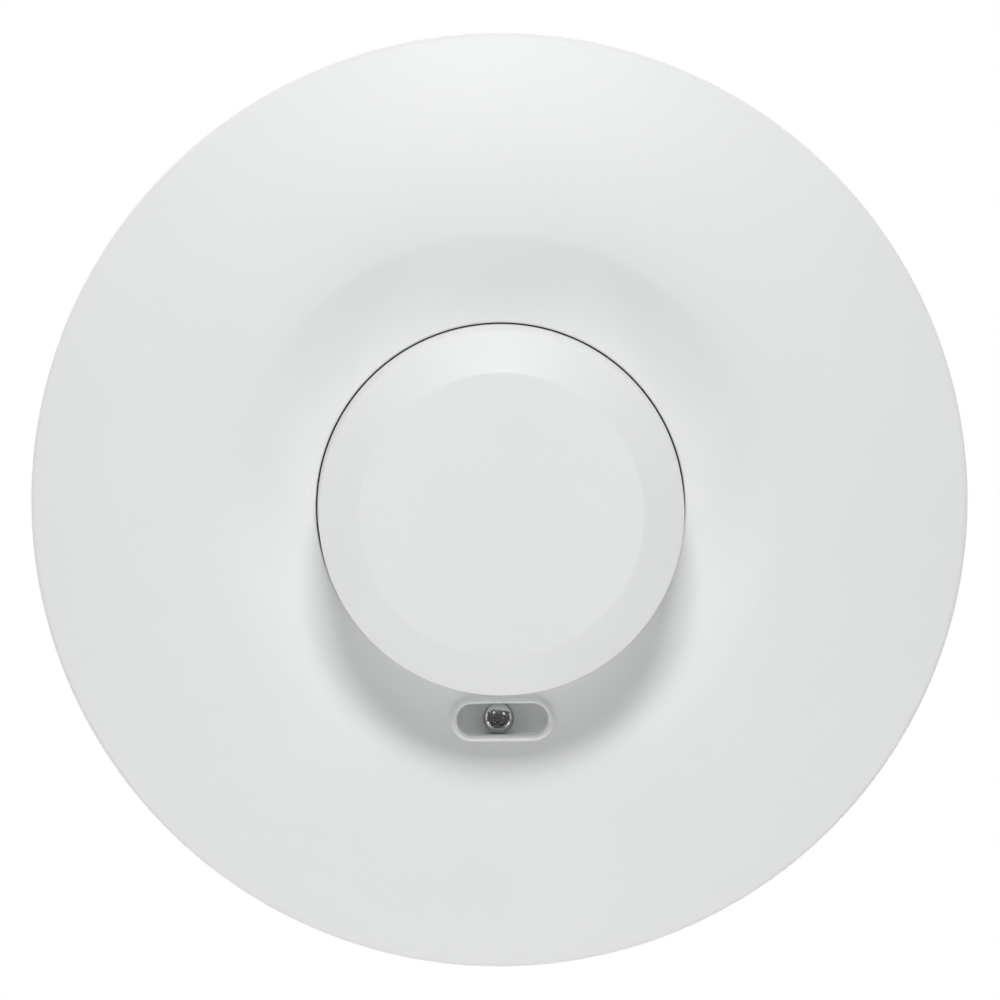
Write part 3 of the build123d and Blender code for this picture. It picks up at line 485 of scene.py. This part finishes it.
def cover_skin():
    """The turned grid with its two open sectors, and the loops that join them through the slot."""
    profile, top_row, under_row = cover_profile()
    angles = np.radians(np.arange(COLUMNS))
    radius = np.repeat(profile[:, :1], COLUMNS, 1)
    lip_wall = (np.abs(profile[:, 0] - LIP_OUT_R) < 0.3) & (profile[:, 1] < SEAT_Z + 0.01)
    for key_angle in KEY_ANGLES:
        key_columns = np.abs(np.arange(COLUMNS) - key_angle) <= KEY_HALF
        radius = radius + KEY_DEPTH * lip_wall[:, None] * key_columns[None, :]
    grid = np.stack([radius * np.cos(angles), radius * np.sin(angles),
                     np.repeat(profile[:, 1:], COLUMNS, 1)], -1)
    faces = grid_faces(len(profile), COLUMNS, close_rows=True)
    row, column = faces[:, 0] // COLUMNS, faces[:, 0] % COLUMNS
    in_sector = (column >= SLOT_COLUMN - PATCH_HALF) & (column < SLOT_COLUMN + PATCH_HALF)
    open_rows = ((row >= top_row) & (row < top_row + PATCH_ROWS)) | (
        (row >= under_row) & (row < under_row + PATCH_ROWS))
    faces = [tuple(f) for f in faces[~(in_sector & open_rows)]]

    top_border = border(top_row, top_row + PATCH_ROWS)
    under_border = border(under_row + PATCH_ROWS, under_row)
    top_points = np.array([grid[p] for p in top_border])
    under_points = np.array([grid[p] for p in under_border])
    bearing = np.arctan2(top_points[:, 1] - SLOT_Y, top_points[:, 0])

    def outline(grow):
        """Slot outline grown by grow all round, in plan."""
        return stadium(bearing, SLOT_L + 2 * grow, SLOT_W + 2 * grow) + [0, SLOT_Y]

    def at(plan, height):
        return np.column_stack([plan, np.broadcast_to(height, len(plan))])

    def on_ring(plan, lift):
        return at(plan, ring_top(np.hypot(plan[:, 0], plan[:, 1])) + lift)

    foot = outline(LIP_W)
    loops = [on_ring(top_points[:, :2] * (1 - t) + foot * t, 0) for t in (0.3, 0.6, 0.85, 1.0)]
    loops += [on_ring(outline(LIP_W * (1 - 0.6 * t)), LIP_RISE * (1 - math.cos(math.pi * t)) / 2)
              for t in np.linspace(0.12, 1, 8)]
    loops += [on_ring(outline(LIP_EDGE * (1 - math.sin(a))), LIP_RISE - LIP_EDGE * (1 - math.cos(a)))
              for a in np.linspace(0, math.pi / 2, 4)]
    loops += [at(outline(0), SLOT_FLOOR + 0.3), at(outline(-0.06), SLOT_FLOOR + 0.08),
              at(outline(-0.25), SLOT_FLOOR)]
    hole = np.column_stack([np.cos(bearing), np.sin(bearing)]) * SCREW_HOLE_R + [SCREW_X, SLOT_Y]
    loops += [at(outline(-0.25) * (1 - t) + hole * t, SLOT_FLOOR) for t in (0.5, 1.0)]
    pocket = outline(POCKET_WALL)
    loops += [at(hole * (1 - t) + pocket * t, POCKET_Z) for t in (0.0, 0.5, 1.0)]
    loops += [on_ring(pocket, -WALL), on_ring((pocket + under_points[:, :2]) / 2, -WALL)]

    vertices = np.vstack([grid.reshape(-1, 3)] + loops)
    count, start = len(bearing), grid.shape[0] * COLUMNS
    index = [[r * COLUMNS + c for r, c in top_border]]
    index += [[start + k * count + i for i in range(count)] for k in range(len(loops))]
    index += [[r * COLUMNS + c for r, c in under_border]]
    for above, below in zip(index, index[1:]):
        faces += [(above[i], above[(i + 1) % count], below[(i + 1) % count], below[i]) for i in range(count)]
    return vertices * MM, faces


cover = to_object("cover_shell", *cover_skin(), cover_abs, "cover", "white_housing", 28)
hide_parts("front_cover")

# %% [markdown]
# ## The cap
# The cap is thin enough for radar to pass through. From outside it is a drafted wall, a shallow cone and
# a flat top, with a small round at each edge. Inside, six ribs grip the collar it is pushed on to. It is
# one profile from axis to axis, turned, and the ribs only draw in points that the turning made.

# %% Cap
CAP_EDGE_R, CAP_TOP_R, CAP_WALL = 22.8, 17.7, 1.6
EDGE_ROUND, TOP_ROUND, INSIDE_ROUND, FOOT_ROUND = 0.3, 0.8, 0.6, 0.2
WALL_RISE = 10.2                     # from the ring to the foot of the cone
RIBS, RIB_HALF_WIDTH, RIB_DEPTH = 6, 0.75, 0.25
cap_low, cap_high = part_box("sensor_cap")
CAP_LOW_Z, CAP_Z = cap_low.z / MM, cap_high.z / MM
CAP_EDGE_Z = RING_Z + WALL_RISE
COLLAR_R, DECK_Z = 21.0, 22.6
SKIRT_IN = COLLAR_R + 0.3


def cap_profile():
    """From the axis inside the top, out and down the inside, round the foot and back up outside."""
    inside_z = CAP_Z - CAP_WALL
    slope = math.atan2(CAP_Z - CAP_EDGE_Z, CAP_EDGE_R - CAP_TOP_R)
    corners = [(0, inside_z), (CAP_TOP_R - CAP_WALL * math.tan(slope / 2), inside_z),
               (CAP_EDGE_R - CAP_WALL, CAP_EDGE_Z - CAP_WALL * math.tan((math.pi / 2 - slope) / 2)),
               (SKIRT_IN, DECK_Z + 0.3), (SKIRT_IN, CAP_LOW_Z), (CAP_R, CAP_LOW_Z), (CAP_R, RING_Z),
               (CAP_EDGE_R, CAP_EDGE_Z), (CAP_TOP_R, CAP_Z), (0, CAP_Z)]
    rounds = [0, INSIDE_ROUND, INSIDE_ROUND, 0, FOOT_ROUND, FOOT_ROUND, 0, EDGE_ROUND, TOP_ROUND, 0]
    return rounded(corners, rounds, 8)


def cap_skin():
    """The turned cap, its inner skirt drawn in at the ribs: a rib is where cos(ribs x angle) is near one."""
    points, faces = turned(cap_profile(), count=COLUMNS)
    radius = np.hypot(points[:, 0], points[:, 1])
    bearing = np.arctan2(points[:, 1], points[:, 0])
    near_rib = np.cos(RIBS * bearing) > math.cos(RIBS * RIB_HALF_WIDTH / SKIRT_IN)
    on_skirt = (np.abs(radius - SKIRT_IN) < 0.02) & (points[:, 2] < DECK_Z - 0.5)
    points[:, :2] *= np.where(near_rib & on_skirt, 1 - RIB_DEPTH / SKIRT_IN, 1)[:, None]
    return points * MM, faces


cap = to_object("cap_shell", *cap_skin(), cap_abs, "cap", "white_cap", 28)
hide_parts("sensor_cap")

# %% [markdown]
# ## Masks
# Inside the sensor a good deal of the detail is colour, not shape: bands on resistors, a stripe on a
# capacitor's sleeve, copper tracks under green lacquer. Each is a mask between two colours, worked out from
# the piece's own Object coordinates in millimetres, so it stays sharp at any distance.

# %% Masked finishes
def position(tree):
    """Object coordinates in millimetres, and their three parts."""
    place = add_node(tree, "ShaderNodeTexCoord")
    scaled = add_node(tree, "ShaderNodeVectorMath", {"operation": "SCALE"}, i0=(place, "Object"),
                      Scale=1 / MM)
    return scaled, add_node(tree, "ShaderNodeSeparateXYZ", i0=(scaled, 0))


def math_node(tree, operation, *values):
    """A Math node on plain numbers and (node, output) pairs."""
    sockets = {f"i{i}": value for i, value in enumerate(values)}
    return add_node(tree, "ShaderNodeMath", {"operation": operation}, **sockets)


def slab_mask(axis, places, half):
    """1 where the coordinate lies within half a band's width of one of the places, else 0."""
    def mask(tree):
        parts = position(tree)[1]
        hits = [math_node(tree, "COMPARE", (parts, axis), place, half) for place in places]
        total = hits[0]
        for hit in hits[1:]:
            total = math_node(tree, "MAXIMUM", (total, 0), (hit, 0))
        return total
    return mask


def track_mask(pitch_mm, share):
    """Tracks: borders of a city-block Voronoi pattern, where the two nearest cells are almost as near."""
    def mask(tree):
        scaled = position(tree)[0]
        cells = [add_node(tree, "ShaderNodeTexVoronoi", {"distance": "CHEBYCHEV", "feature": feature},
                          Vector=(scaled, 0), Scale=1 / pitch_mm, Randomness=0.8)
                 for feature in ("F1", "F2")]
        gap = math_node(tree, "SUBTRACT", (cells[1], "Distance"), (cells[0], "Distance"))
        return math_node(tree, "LESS_THAN", (gap, 0), share)
    return mask


def pad_mask(pitch_mm, radius_mm):
    """Round pads: within radius of a scattered Voronoi point."""
    def mask(tree):
        scaled = position(tree)[0]
        cell = add_node(tree, "ShaderNodeTexVoronoi", Vector=(scaled, 0), Scale=1 / pitch_mm, Randomness=0.6)
        return math_node(tree, "LESS_THAN", (cell, "Distance"), radius_mm / pitch_mm)
    return mask


def winding_mask(radius, low, high, centre):
    """Inside the wound part of a drum: nearer its axis than radius and between two heights."""
    def mask(tree):
        parts = position(tree)[1]
        dx = math_node(tree, "SUBTRACT", (parts, 0), centre[0])
        dy = math_node(tree, "SUBTRACT", (parts, 1), centre[1])
        square = math_node(tree, "ADD", (math_node(tree, "POWER", (dx, 0), 2), 0),
                           (math_node(tree, "POWER", (dy, 0), 2), 0))
        inside = math_node(tree, "LESS_THAN", (square, 0), radius ** 2)
        tall = math_node(tree, "COMPARE", (parts, 2), (low + high) / 2, (high - low) / 2)
        return math_node(tree, "MULTIPLY", (inside, 0), (tall, 0))
    return mask


def finish(name, colour, roughness, grain_mm=0.3, depth_mm=0.004, metal=0.0, drift=0.05, mask=None,
           second=None, second_roughness=None, second_metal=None, coat=0.0, clear=0.0, stretch=None):
    """A finish with grain and drift; where mask is 1 it turns to the second colour, roughness and metal.
    stretch squeezes the grain along one axis into brush or wire lines."""
    material, tree = new_material(name)
    place = add_node(tree, "ShaderNodeTexCoord")
    squeezed = add_node(tree, "ShaderNodeMapping", Vector=(place, "Object"), Scale=stretch or (1, 1, 1))
    grain = add_node(tree, "ShaderNodeTexNoise", Vector=(squeezed, 0), Scale=1 / (grain_mm * MM), Detail=3.0)
    slow = add_node(tree, "ShaderNodeTexNoise", Vector=(place, "Object"), Scale=1 / (6 * MM), Detail=2.0)
    dark = [c * (1 - drift) for c in linear(colour)[:3]] + [1.0]
    tint = add_node(tree, "ShaderNodeMix", {"data_type": "RGBA"}, i0=(slow, 0), i6=dark, i7=linear(colour))
    rough = add_node(tree, "ShaderNodeMapRange", Value=(grain, 0), To_Min=max(roughness - 0.06, 0.02),
                     To_Max=roughness + 0.06)
    bump = add_node(tree, "ShaderNodeBump", Height=(grain, 0), Strength=1.0, Distance=depth_mm * MM)
    shader = add_node(tree, "ShaderNodeBsdfPrincipled", Metallic=metal, Normal=(bump, 0), Coat_Weight=coat,
                      Transmission_Weight=clear)
    if not metal:
        shader.inputs["IOR"].default_value = PLASTIC_IOR
    if mask is None:
        tree.links.new(tint.outputs[2], shader.inputs["Base Color"])
        tree.links.new(rough.outputs[0], shader.inputs["Roughness"])
        finish_material(tree, shader)
        return material
    share = mask(tree)
    mixed = add_node(tree, "ShaderNodeMix", {"data_type": "RGBA"}, i0=(share, 0), i6=(tint, 2),
                     i7=linear(second))
    tree.links.new(mixed.outputs[2], shader.inputs["Base Color"])
    masked = add_node(tree, "ShaderNodeMapRange", Value=(share, 0), To_Min=roughness,
                      To_Max=roughness if second_roughness is None else second_roughness)
    tree.links.new(masked.outputs[0], shader.inputs["Roughness"])
    if second_metal is not None:
        metallic = add_node(tree, "ShaderNodeMapRange", Value=(share, 0), To_Min=metal, To_Max=second_metal)
        tree.links.new(metallic.outputs[0], shader.inputs["Metallic"])
    finish_material(tree, shader)
    return material


def middle(node):
    """Centre and half size of a CAD node's box, in millimetres."""
    low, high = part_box(node)
    return [(a + b) / 2 / MM for a, b in zip(low, high)], [(b - a) / 2 / MM for a, b in zip(low, high)]


resistor_middle = middle("resistors")[0]
choke_middle = middle("choke")[0]
can_middle, can_half = middle("electrolytic_capacitors")
cell_middle = middle("light_cell")[0]
relay_middle = middle("relay")[0]
film_middle = middle("film_capacitor")[0]
print("cans reach from", can_middle[2] - can_half[2], "to", can_middle[2] + can_half[2])

# %% [markdown]
# The steel is bright zinc over cold-formed wire: low roughness and slight dents, which break what it mirrors
# into glints. The power and sensor boards wear green solder mask over copper tracks, which show as lighter
# green bands; the radar board has gilded pads instead. The rest are the usual colours of each kind of part,
# so the eye can name them. Their bands could be painted images, but masks stay sharp and need no files.

# %% Finishes
steel = finish("zinc_plated_steel", "#C2C3C4", 0.13, 0.6, 0.02, metal=1.0, drift=0.12)
board_green = finish("fr4_green_solder_mask", "#1E5A38", 0.34, 0.25, 0.003, mask=track_mask(3.4, 0.09),
                     second="#3E8A58", second_roughness=0.28, coat=0.3)
sensor_green = finish("fr4_green_fine_tracks", "#1B5536", 0.34, 0.2, 0.003, mask=track_mask(1.9, 0.1),
                      second="#3B8656", second_roughness=0.28, coat=0.3)
radar_green = finish("fr4_radar_laminate", "#17452F", 0.3, 0.2, 0.003, mask=pad_mask(1.6, 0.28),
                     second="#C8B87A", second_roughness=0.3, second_metal=0.8, coat=0.3)
rubber = finish("epdm_rubber", "#2D2E30", 0.72, 0.25, 0.02)
terminal_grey = finish("pa66_terminal_housing", "#B9BDBB", 0.42, 0.3, 0.006,
                       mask=slab_mask(0, [-5.08, 0.0, 5.08], 0.14), second="#8D918F")
relay_blue = finish("pbt_relay_case", "#2B4C86", 0.38, 0.3, 0.006,
                    mask=slab_mask(1, [relay_middle[1] - 3.2], 0.12), second="#C9CFD8")
film_yellow = finish("film_capacitor_box", "#C8A12C", 0.36, 0.3, 0.006,
                     mask=slab_mask(0, [film_middle[0] - 4.6, film_middle[0] + 4.6], 0.1), second="#8D6F14")
black_epoxy = finish("black_moulding_compound", "#252628", 0.55, 0.15, 0.008)
dark_plastic = finish("black_pbt_header", "#232426", 0.48, 0.2, 0.006)
sleeve = finish("pvc_capacitor_sleeve", "#20242B", 0.32, 0.4, 0.003,
                mask=slab_mask(2, [can_middle[2] + can_half[2]], 0.35), second="#C9CBCD",
                second_roughness=0.3, second_metal=1.0)
varistor_blue = finish("dipped_epoxy_blue", "#2E5FA6", 0.22, 0.9, 0.02, coat=0.5)
fuse_brown = finish("brown_fuse_case", "#5B4433", 0.4, 0.3, 0.006,
                    mask=slab_mask(2, [middle("fuse")[0][2] + 2.4], 0.15), second="#C9BFA8")
ferrite = finish("ferrite_with_copper_winding", "#3B3C3F", 0.6, 0.25, 0.01,
                 mask=winding_mask(4.2, choke_middle[2] - 3.0, choke_middle[2] + 3.0, choke_middle[:2]),
                 second="#B86F3C", second_roughness=0.3, second_metal=0.9, stretch=(0.05, 0.05, 1))
resistor_beige = finish("resistor_lacquer", "#CDB489", 0.35, 0.3, 0.004,
                        mask=slab_mask(1, [resistor_middle[1] + d for d in (-1.9, -0.8, 0.3, 2.0)], 0.28),
                        second="#6B3A22")
gold = finish("gold_flash_on_brass", "#C9A14A", 0.24, 0.15, 0.002, metal=1.0, stretch=(1, 1, 0.1))
trimmer_blue = finish("blue_trimmer_case", "#2C62B4", 0.4, 0.25, 0.005)
dial_white = finish("white_nylon_dial", "#E4E4E0", 0.42, 0.25, 0.006)
cell_bands = [cell_middle[0] + d for d in (-1.5, -0.9, -0.3, 0.3, 0.9, 1.5)]
cell_ceramic = finish("photocell_with_track", "#B4532E", 0.35, 0.3, 0.003,
                      mask=slab_mask(0, cell_bands, 0.13), second="#D9D2C4", coat=0.8)
led_red = finish("red_tinted_epoxy", "#B3231C", 0.12, 0.6, 0.001, clear=0.6)
chip_grey = finish("ceramic_chip_with_tin_ends", "#6E6A62", 0.5, 0.1, 0.004,
                   mask=slab_mask(1, [c + d for c in (7.5, 10.0) for d in (-0.7, 0.7)], 0.16),
                   second="#C4C6C8", second_roughness=0.3, second_metal=1.0)
tin = finish("tinned_shield", "#AEB1B4", 0.3, 0.8, 0.006, metal=1.0)
copper = finish("gilded_copper_patch", "#C99A4B", 0.28, 0.2, 0.002, metal=1.0)

node_finishes = {
    "rear_base": pan_abs, "cable_grommet": rubber, "front_cover": cover_abs, "cover_screw": steel,
    "sensor_cap": cap_abs, "inner_carrier": nylon, "power_board": board_green, "sensor_board": sensor_green,
    "carrier_screws": steel, "board_screws": steel, "sensor_board_screws": steel,
    "terminal_housing": terminal_grey, "terminal_clamps": tin, "terminal_screws": steel,
    "relay": relay_blue, "film_capacitor": film_yellow, "bridge_rectifier": black_epoxy,
    "voltage_regulator": black_epoxy, "electrolytic_capacitors": sleeve, "fuse": fuse_brown,
    "varistor": varistor_blue, "choke": ferrite, "resistors": resistor_beige, "link_header": dark_plastic,
    "link_pins": gold, "trimmer_bodies": trimmer_blue, "dial_sensitivity": dial_white,
    "dial_time": dial_white, "dial_light": dial_white, "light_cell": cell_ceramic, "status_led": led_red,
    "microcontroller": black_epoxy, "chip_parts": chip_grey, "radar_board": radar_green,
    "radar_header": dark_plastic, "radar_pins": gold, "radar_shield": tin, "radar_antenna": copper,
}
for name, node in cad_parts.items():
    node.data.materials.clear()
    node.data.materials.append(node_finishes[name])
print("finishes on", len(node_finishes), "CAD nodes")

# %% [markdown]
# ## Cross-head screws
# A screw is a turned profile from its point to the top of its head. Two things break the symmetry. The
# thread pushes the shank's wall out along a helix, and the recess pushes the head's top down inside a cross
# whose arms narrow towards their ends. Both only move points of the same grid, so the skin stays closed.

# %% Screws
def cross_screw(place, seat, head_r, head_h, shank_r, length, turn_deg, pitch=0.8, columns=96):
    """Thread: wall moves in by a triangle wave of height / pitch - angle / 2 pi. Recess: the deeper of two
    arms, each a product of a ramp across and a ramp along. The top falls off by radius squared."""
    tip = seat - length
    thread_z = np.arange(tip + 0.9 * shank_r, seat - 0.3, pitch / 8)
    shank = [(0, tip), (0.35 * shank_r, tip)] + [(shank_r, z) for z in thread_z] + [(shank_r, seat)]
    dome = np.linspace(0, math.pi / 2, 9)
    crown = 0.5 * head_h
    rim_z = seat + head_h - crown
    side = [(head_r, seat)]
    side += [(head_r - crown * (1 - math.cos(t)), rim_z + crown * math.sin(t)) for t in dome]
    flat = [(r, seat + head_h) for r in np.linspace(head_r - crown, 0, 30)[1:]]
    points, faces = turned(shank + side + flat, place, columns)
    local = points[:, :2] - place
    radius, angle = np.hypot(local[:, 0], local[:, 1]), np.arctan2(local[:, 1], local[:, 0])
    on_thread = (np.abs(radius - shank_r) < 1e-6) & (points[:, 2] < seat - 0.2)
    phase = points[:, 2] / pitch - angle / (2 * math.pi)
    depth = 0.14 * shank_r * np.abs(2 * (phase - np.floor(phase)) - 1)
    points[:, :2] = place + local * np.where(on_thread, 1 - depth / shank_r, 1)[:, None]
    turn = math.radians(turn_deg)
    u = local[:, 0] * math.cos(turn) + local[:, 1] * math.sin(turn)
    v = local[:, 1] * math.cos(turn) - local[:, 0] * math.sin(turn)

    def ramp(x, width):
        return np.clip(x / width, 0, 1)

    def arm(along, across):
        inside = 0.2 * head_r - 0.06 * np.abs(along) - np.abs(across)
        return ramp(inside, 0.07 * head_r) * ramp(0.66 * head_r - np.abs(along), 0.3 * head_r)

    on_top = points[:, 2] > seat + 0.7 * head_h
    points[:, 2] -= np.where(on_top, 0.62 * head_h * np.maximum(arm(u, v), arm(v, u)), 0)
    points[:, 2] -= np.where(on_top, 0.09 * head_h * (radius / head_r) ** 2, 0)
    return points, faces


CROSS_TURN = 38                      # degrees
CROSS_STEP = 31                      # degrees from one screw's cross to the next one's
SEAT_GAP = 0.02
SMOOTH_SCREW = 30                    # degrees
# head radius and height, shank radius, length
COVER_SCREW = (1.975, 1.7, 1.1, 11.0)
place = (SCREW_X, SLOT_Y)
points, faces = cross_screw(place, SLOT_FLOOR + SEAT_GAP, *COVER_SCREW, CROSS_TURN, columns=144)
cover_screw = to_object("cover_screw_threaded", points * MM, faces, steel, "cover", "screw_steel",
                        SMOOTH_SCREW)
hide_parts("cover_screw")

# %% [markdown]
# The other screws hold the carrier, the boards and the wires. They are the same function at other sizes.
# Each set is one object, as in the CAD, and every cross stands at an angle of its own, as a screwdriver
# leaves it.

# %% Screw sets
def polar_places(radius, angles):
    """Points at one radius and these angles in degrees."""
    return [(radius * math.cos(math.radians(a)), radius * math.sin(math.radians(a))) for a in angles]


TERMINAL_XS = [-7.62, -2.54, 2.54, 7.62]
terminal_middle = middle("terminal_screws")[0]
# node: places, seat height, head radius and height, shank radius, length
SCREW_SETS = {
    "carrier_screws": (polar_places(26.2, (45, 135, 225, 315)), 9.12, 2.0, 1.5, 1.1, 6.0),
    "board_screws": (polar_places(41.5, (20, 160, 270)), 7.12, 2.0, 1.5, 1.1, 4.0),
    "sensor_board_screws": ([(-15.6, 3.0), (15.6, 3.0)], 24.82, 1.6, 1.1, 0.8, 3.8),
    "terminal_screws": ([(x, terminal_middle[1]) for x in TERMINAL_XS], 12.72, 1.7, 1.4, 1.1, 1.8),
}
for number, (node, (places, *sizes)) in enumerate(SCREW_SETS.items()):
    turns = [CROSS_TURN + CROSS_STEP * (number + 2 * i) for i in range(len(places))]
    shapes = [cross_screw(place, *sizes, turn) for place, turn in zip(places, turns)]
    points, faces = join_shapes(shapes)
    screws = to_object(node + "_threaded", points * MM, faces, steel, "base", "screw_steel", SMOOTH_SCREW)
    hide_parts(node)

# %% [markdown]
# ## Capacitor cans
# A can is one profile turned about its own axis. Its sleeve has a rolled groove near the foot and curls over
# the top edge. The bare aluminium lies a little lower, with a pressed cross that lets it vent.

# %% Cans
BOARD_TOP = 7.12
CAN_R, CAN_HEIGHT, CAN_GROOVE = 4.0, 12.0, 1.4
CAN_PLACES = ((-7.0, -12.2), (7.0, -12.2))


def vented_can(place, radius, height, groove):
    """Sleeve with a rolled groove and a curled top edge, both arcs of a circle; the flat top is pressed in
    along a cross, deepest where the nearer of the two axes is zero."""
    low, high = BOARD_TOP, BOARD_TOP + height
    dent = [(radius - 0.35 * math.sin(t), low + groove + 0.4 - 0.4 * math.cos(t))
            for t in np.linspace(0, math.pi, 9)]
    curl = [(radius - 0.35 + 0.35 * math.cos(t), high - 0.35 + 0.35 * math.sin(t))
            for t in np.linspace(0, math.pi, 13)]
    top = [(r, high - 0.4) for r in np.linspace(radius - 0.72, 0, 24)]
    profile = [(0, low), (radius - 0.3, low), (radius, low + 0.3), *dent, *curl, *top]
    points, faces = turned(profile, place)
    x, y = (points[:, :2] - place).T
    on_top = (points[:, 2] > high - 0.45) & (np.hypot(x, y) < 0.72 * radius)
    cross = np.clip(1 - np.minimum(np.abs(x), np.abs(y)) / 0.22, 0, 1)
    points[:, 2] -= np.where(on_top, 0.2 * cross, 0)
    return points, faces


points, faces = join_shapes([vented_can(place, CAN_R, CAN_HEIGHT, CAN_GROOVE) for place in CAN_PLACES])
cans = to_object("vented_cans", points * MM, faces, sleeve, "base", "can_black", 35)
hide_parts("electrolytic_capacitors")

# %% [markdown]
# ## Drum choke
# The choke is enamelled copper wound on a ferrite drum. Modelled wire by wire as a helix it would take many
# thousand faces for no gain, so the winding is a stack of half circles in the drum's own profile.

# %% Choke
CHOKE_PLACE = (28.0, -27.0)
CHOKE_R, CHOKE_HEIGHT, CHOKE_FLANGE = 4.5, 8.5, 1.2


def wound_drum(place, radius, height, flange, wires=13):
    """Two flanges with rounded rims, and between them wires that bulge out as half circles."""
    low, high = BOARD_TOP, BOARD_TOP + height
    pitch = (height - 2 * flange) / wires
    core = radius * 0.88 - pitch / 2
    winding = [(core + pitch / 2 * math.sin(t), low + flange + pitch * (k + 0.5) - pitch / 2 * math.cos(t))
               for k in range(wires) for t in np.linspace(0, math.pi, 7)[:-1]]
    corners = [(0, low), (radius, low), (radius, low + flange), *winding, (core, high - flange),
               (radius, high - flange), (radius, high), (0, high)]
    rounds = [0, 0.25, 0.25, *[0] * len(winding), 0, 0.25, 0.25, 0]
    return turned(rounded(corners, rounds, 3), place)


points, faces = wound_drum(CHOKE_PLACE, CHOKE_R, CHOKE_HEIGHT, CHOKE_FLANGE)
choke = to_object("wound_choke", points * MM, faces, ferrite, "base", "ferrite", 40)
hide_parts("choke")

# %% [markdown]
# ## Cable bush
# The bush is moulded rubber: a flange that rests on the pan's floor, a neck in the hole and a thin membrane
# that the fitter cuts open. Rings on the membrane show where to cut; here they are a squared cosine of the
# radius.

# %% Bush
BUSH_PLACE = (0.0, 40.5)
BUSH_HOLE_R, NECK_GAP, FLANGE_REACH, BUSH_WALL = 7.0, 0.05, 1.0, 1.65
BUSH_LOW, FLANGE_Z, BUSH_TOP = 0.5, 2.52, 3.92
MEMBRANE, RING_RISE, RING_PITCH = 0.8, 0.25, 1.3


def ribbed_bush(place):
    """Flange, neck and membrane; the membrane's top is its foot + thickness + rise x cos^2(pi r / pitch)."""
    neck, inner, flange_r = BUSH_HOLE_R - NECK_GAP, BUSH_HOLE_R - BUSH_WALL, BUSH_HOLE_R + FLANGE_REACH
    rings = [(r, BUSH_LOW + MEMBRANE + RING_RISE * math.cos(math.pi * r / RING_PITCH) ** 2)
             for r in np.linspace(inner - 0.2, 0, 40)]
    corners = [(0, BUSH_LOW), (neck, BUSH_LOW), (neck, FLANGE_Z), (flange_r, FLANGE_Z), (flange_r, BUSH_TOP),
               (inner, BUSH_TOP), *rings]
    return turned(rounded(corners, [0, 0.3, 0, 0.2, 0.5, 0.6, *[0] * len(rings)], 5), place, 128)


points, faces = ribbed_bush(BUSH_PLACE)
grommet = to_object("ribbed_grommet", points * MM, faces, rubber, "base", "grommet_rubber", 35)
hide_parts("cable_grommet")

# %% [markdown]
# ## Status lamp
# The lamp is a 3 mm kind of diode: tinted clear epoxy with a flange, a straight body and a dome that spreads
# its light. The frame's box gives its size.

# %% Lamp
def domed_lamp(place, low, flange_r, radius, height):
    """Flange, straight body and hemispherical dome."""
    dome = [(radius * math.cos(t), low + height - radius + radius * math.sin(t))
            for t in np.linspace(0, math.pi / 2, 17)]
    return turned([(0, low), (flange_r, low), (flange_r, low + 0.7), (radius, low + 0.8), *dome], place, 64)


LED_FLANGE = 0.3
led_middle, led_half = middle("status_led")
led_low = led_middle[2] - led_half[2]
points, faces = domed_lamp(led_middle[:2], led_low, led_half[0], led_half[0] - LED_FLANGE, 2 * led_half[2])
led = to_object("domed_led", points * MM, faces, led_red, "base", "led_red", 35)
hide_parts("status_led")

# %% [markdown]
# ## The two boxes
# The finished model is meant to stay inside the CAD's box, so both boxes are set side by side in one
# table, and the finished model's size is printed.

# %% Finish
low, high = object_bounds()
sizes = {"cad": [list(corner) for corner in cad_box], "visual": [list(low), list(high)]}
print("visual size, mm:", [round((b - a) / MM, 2) for a, b in zip(low, high)])
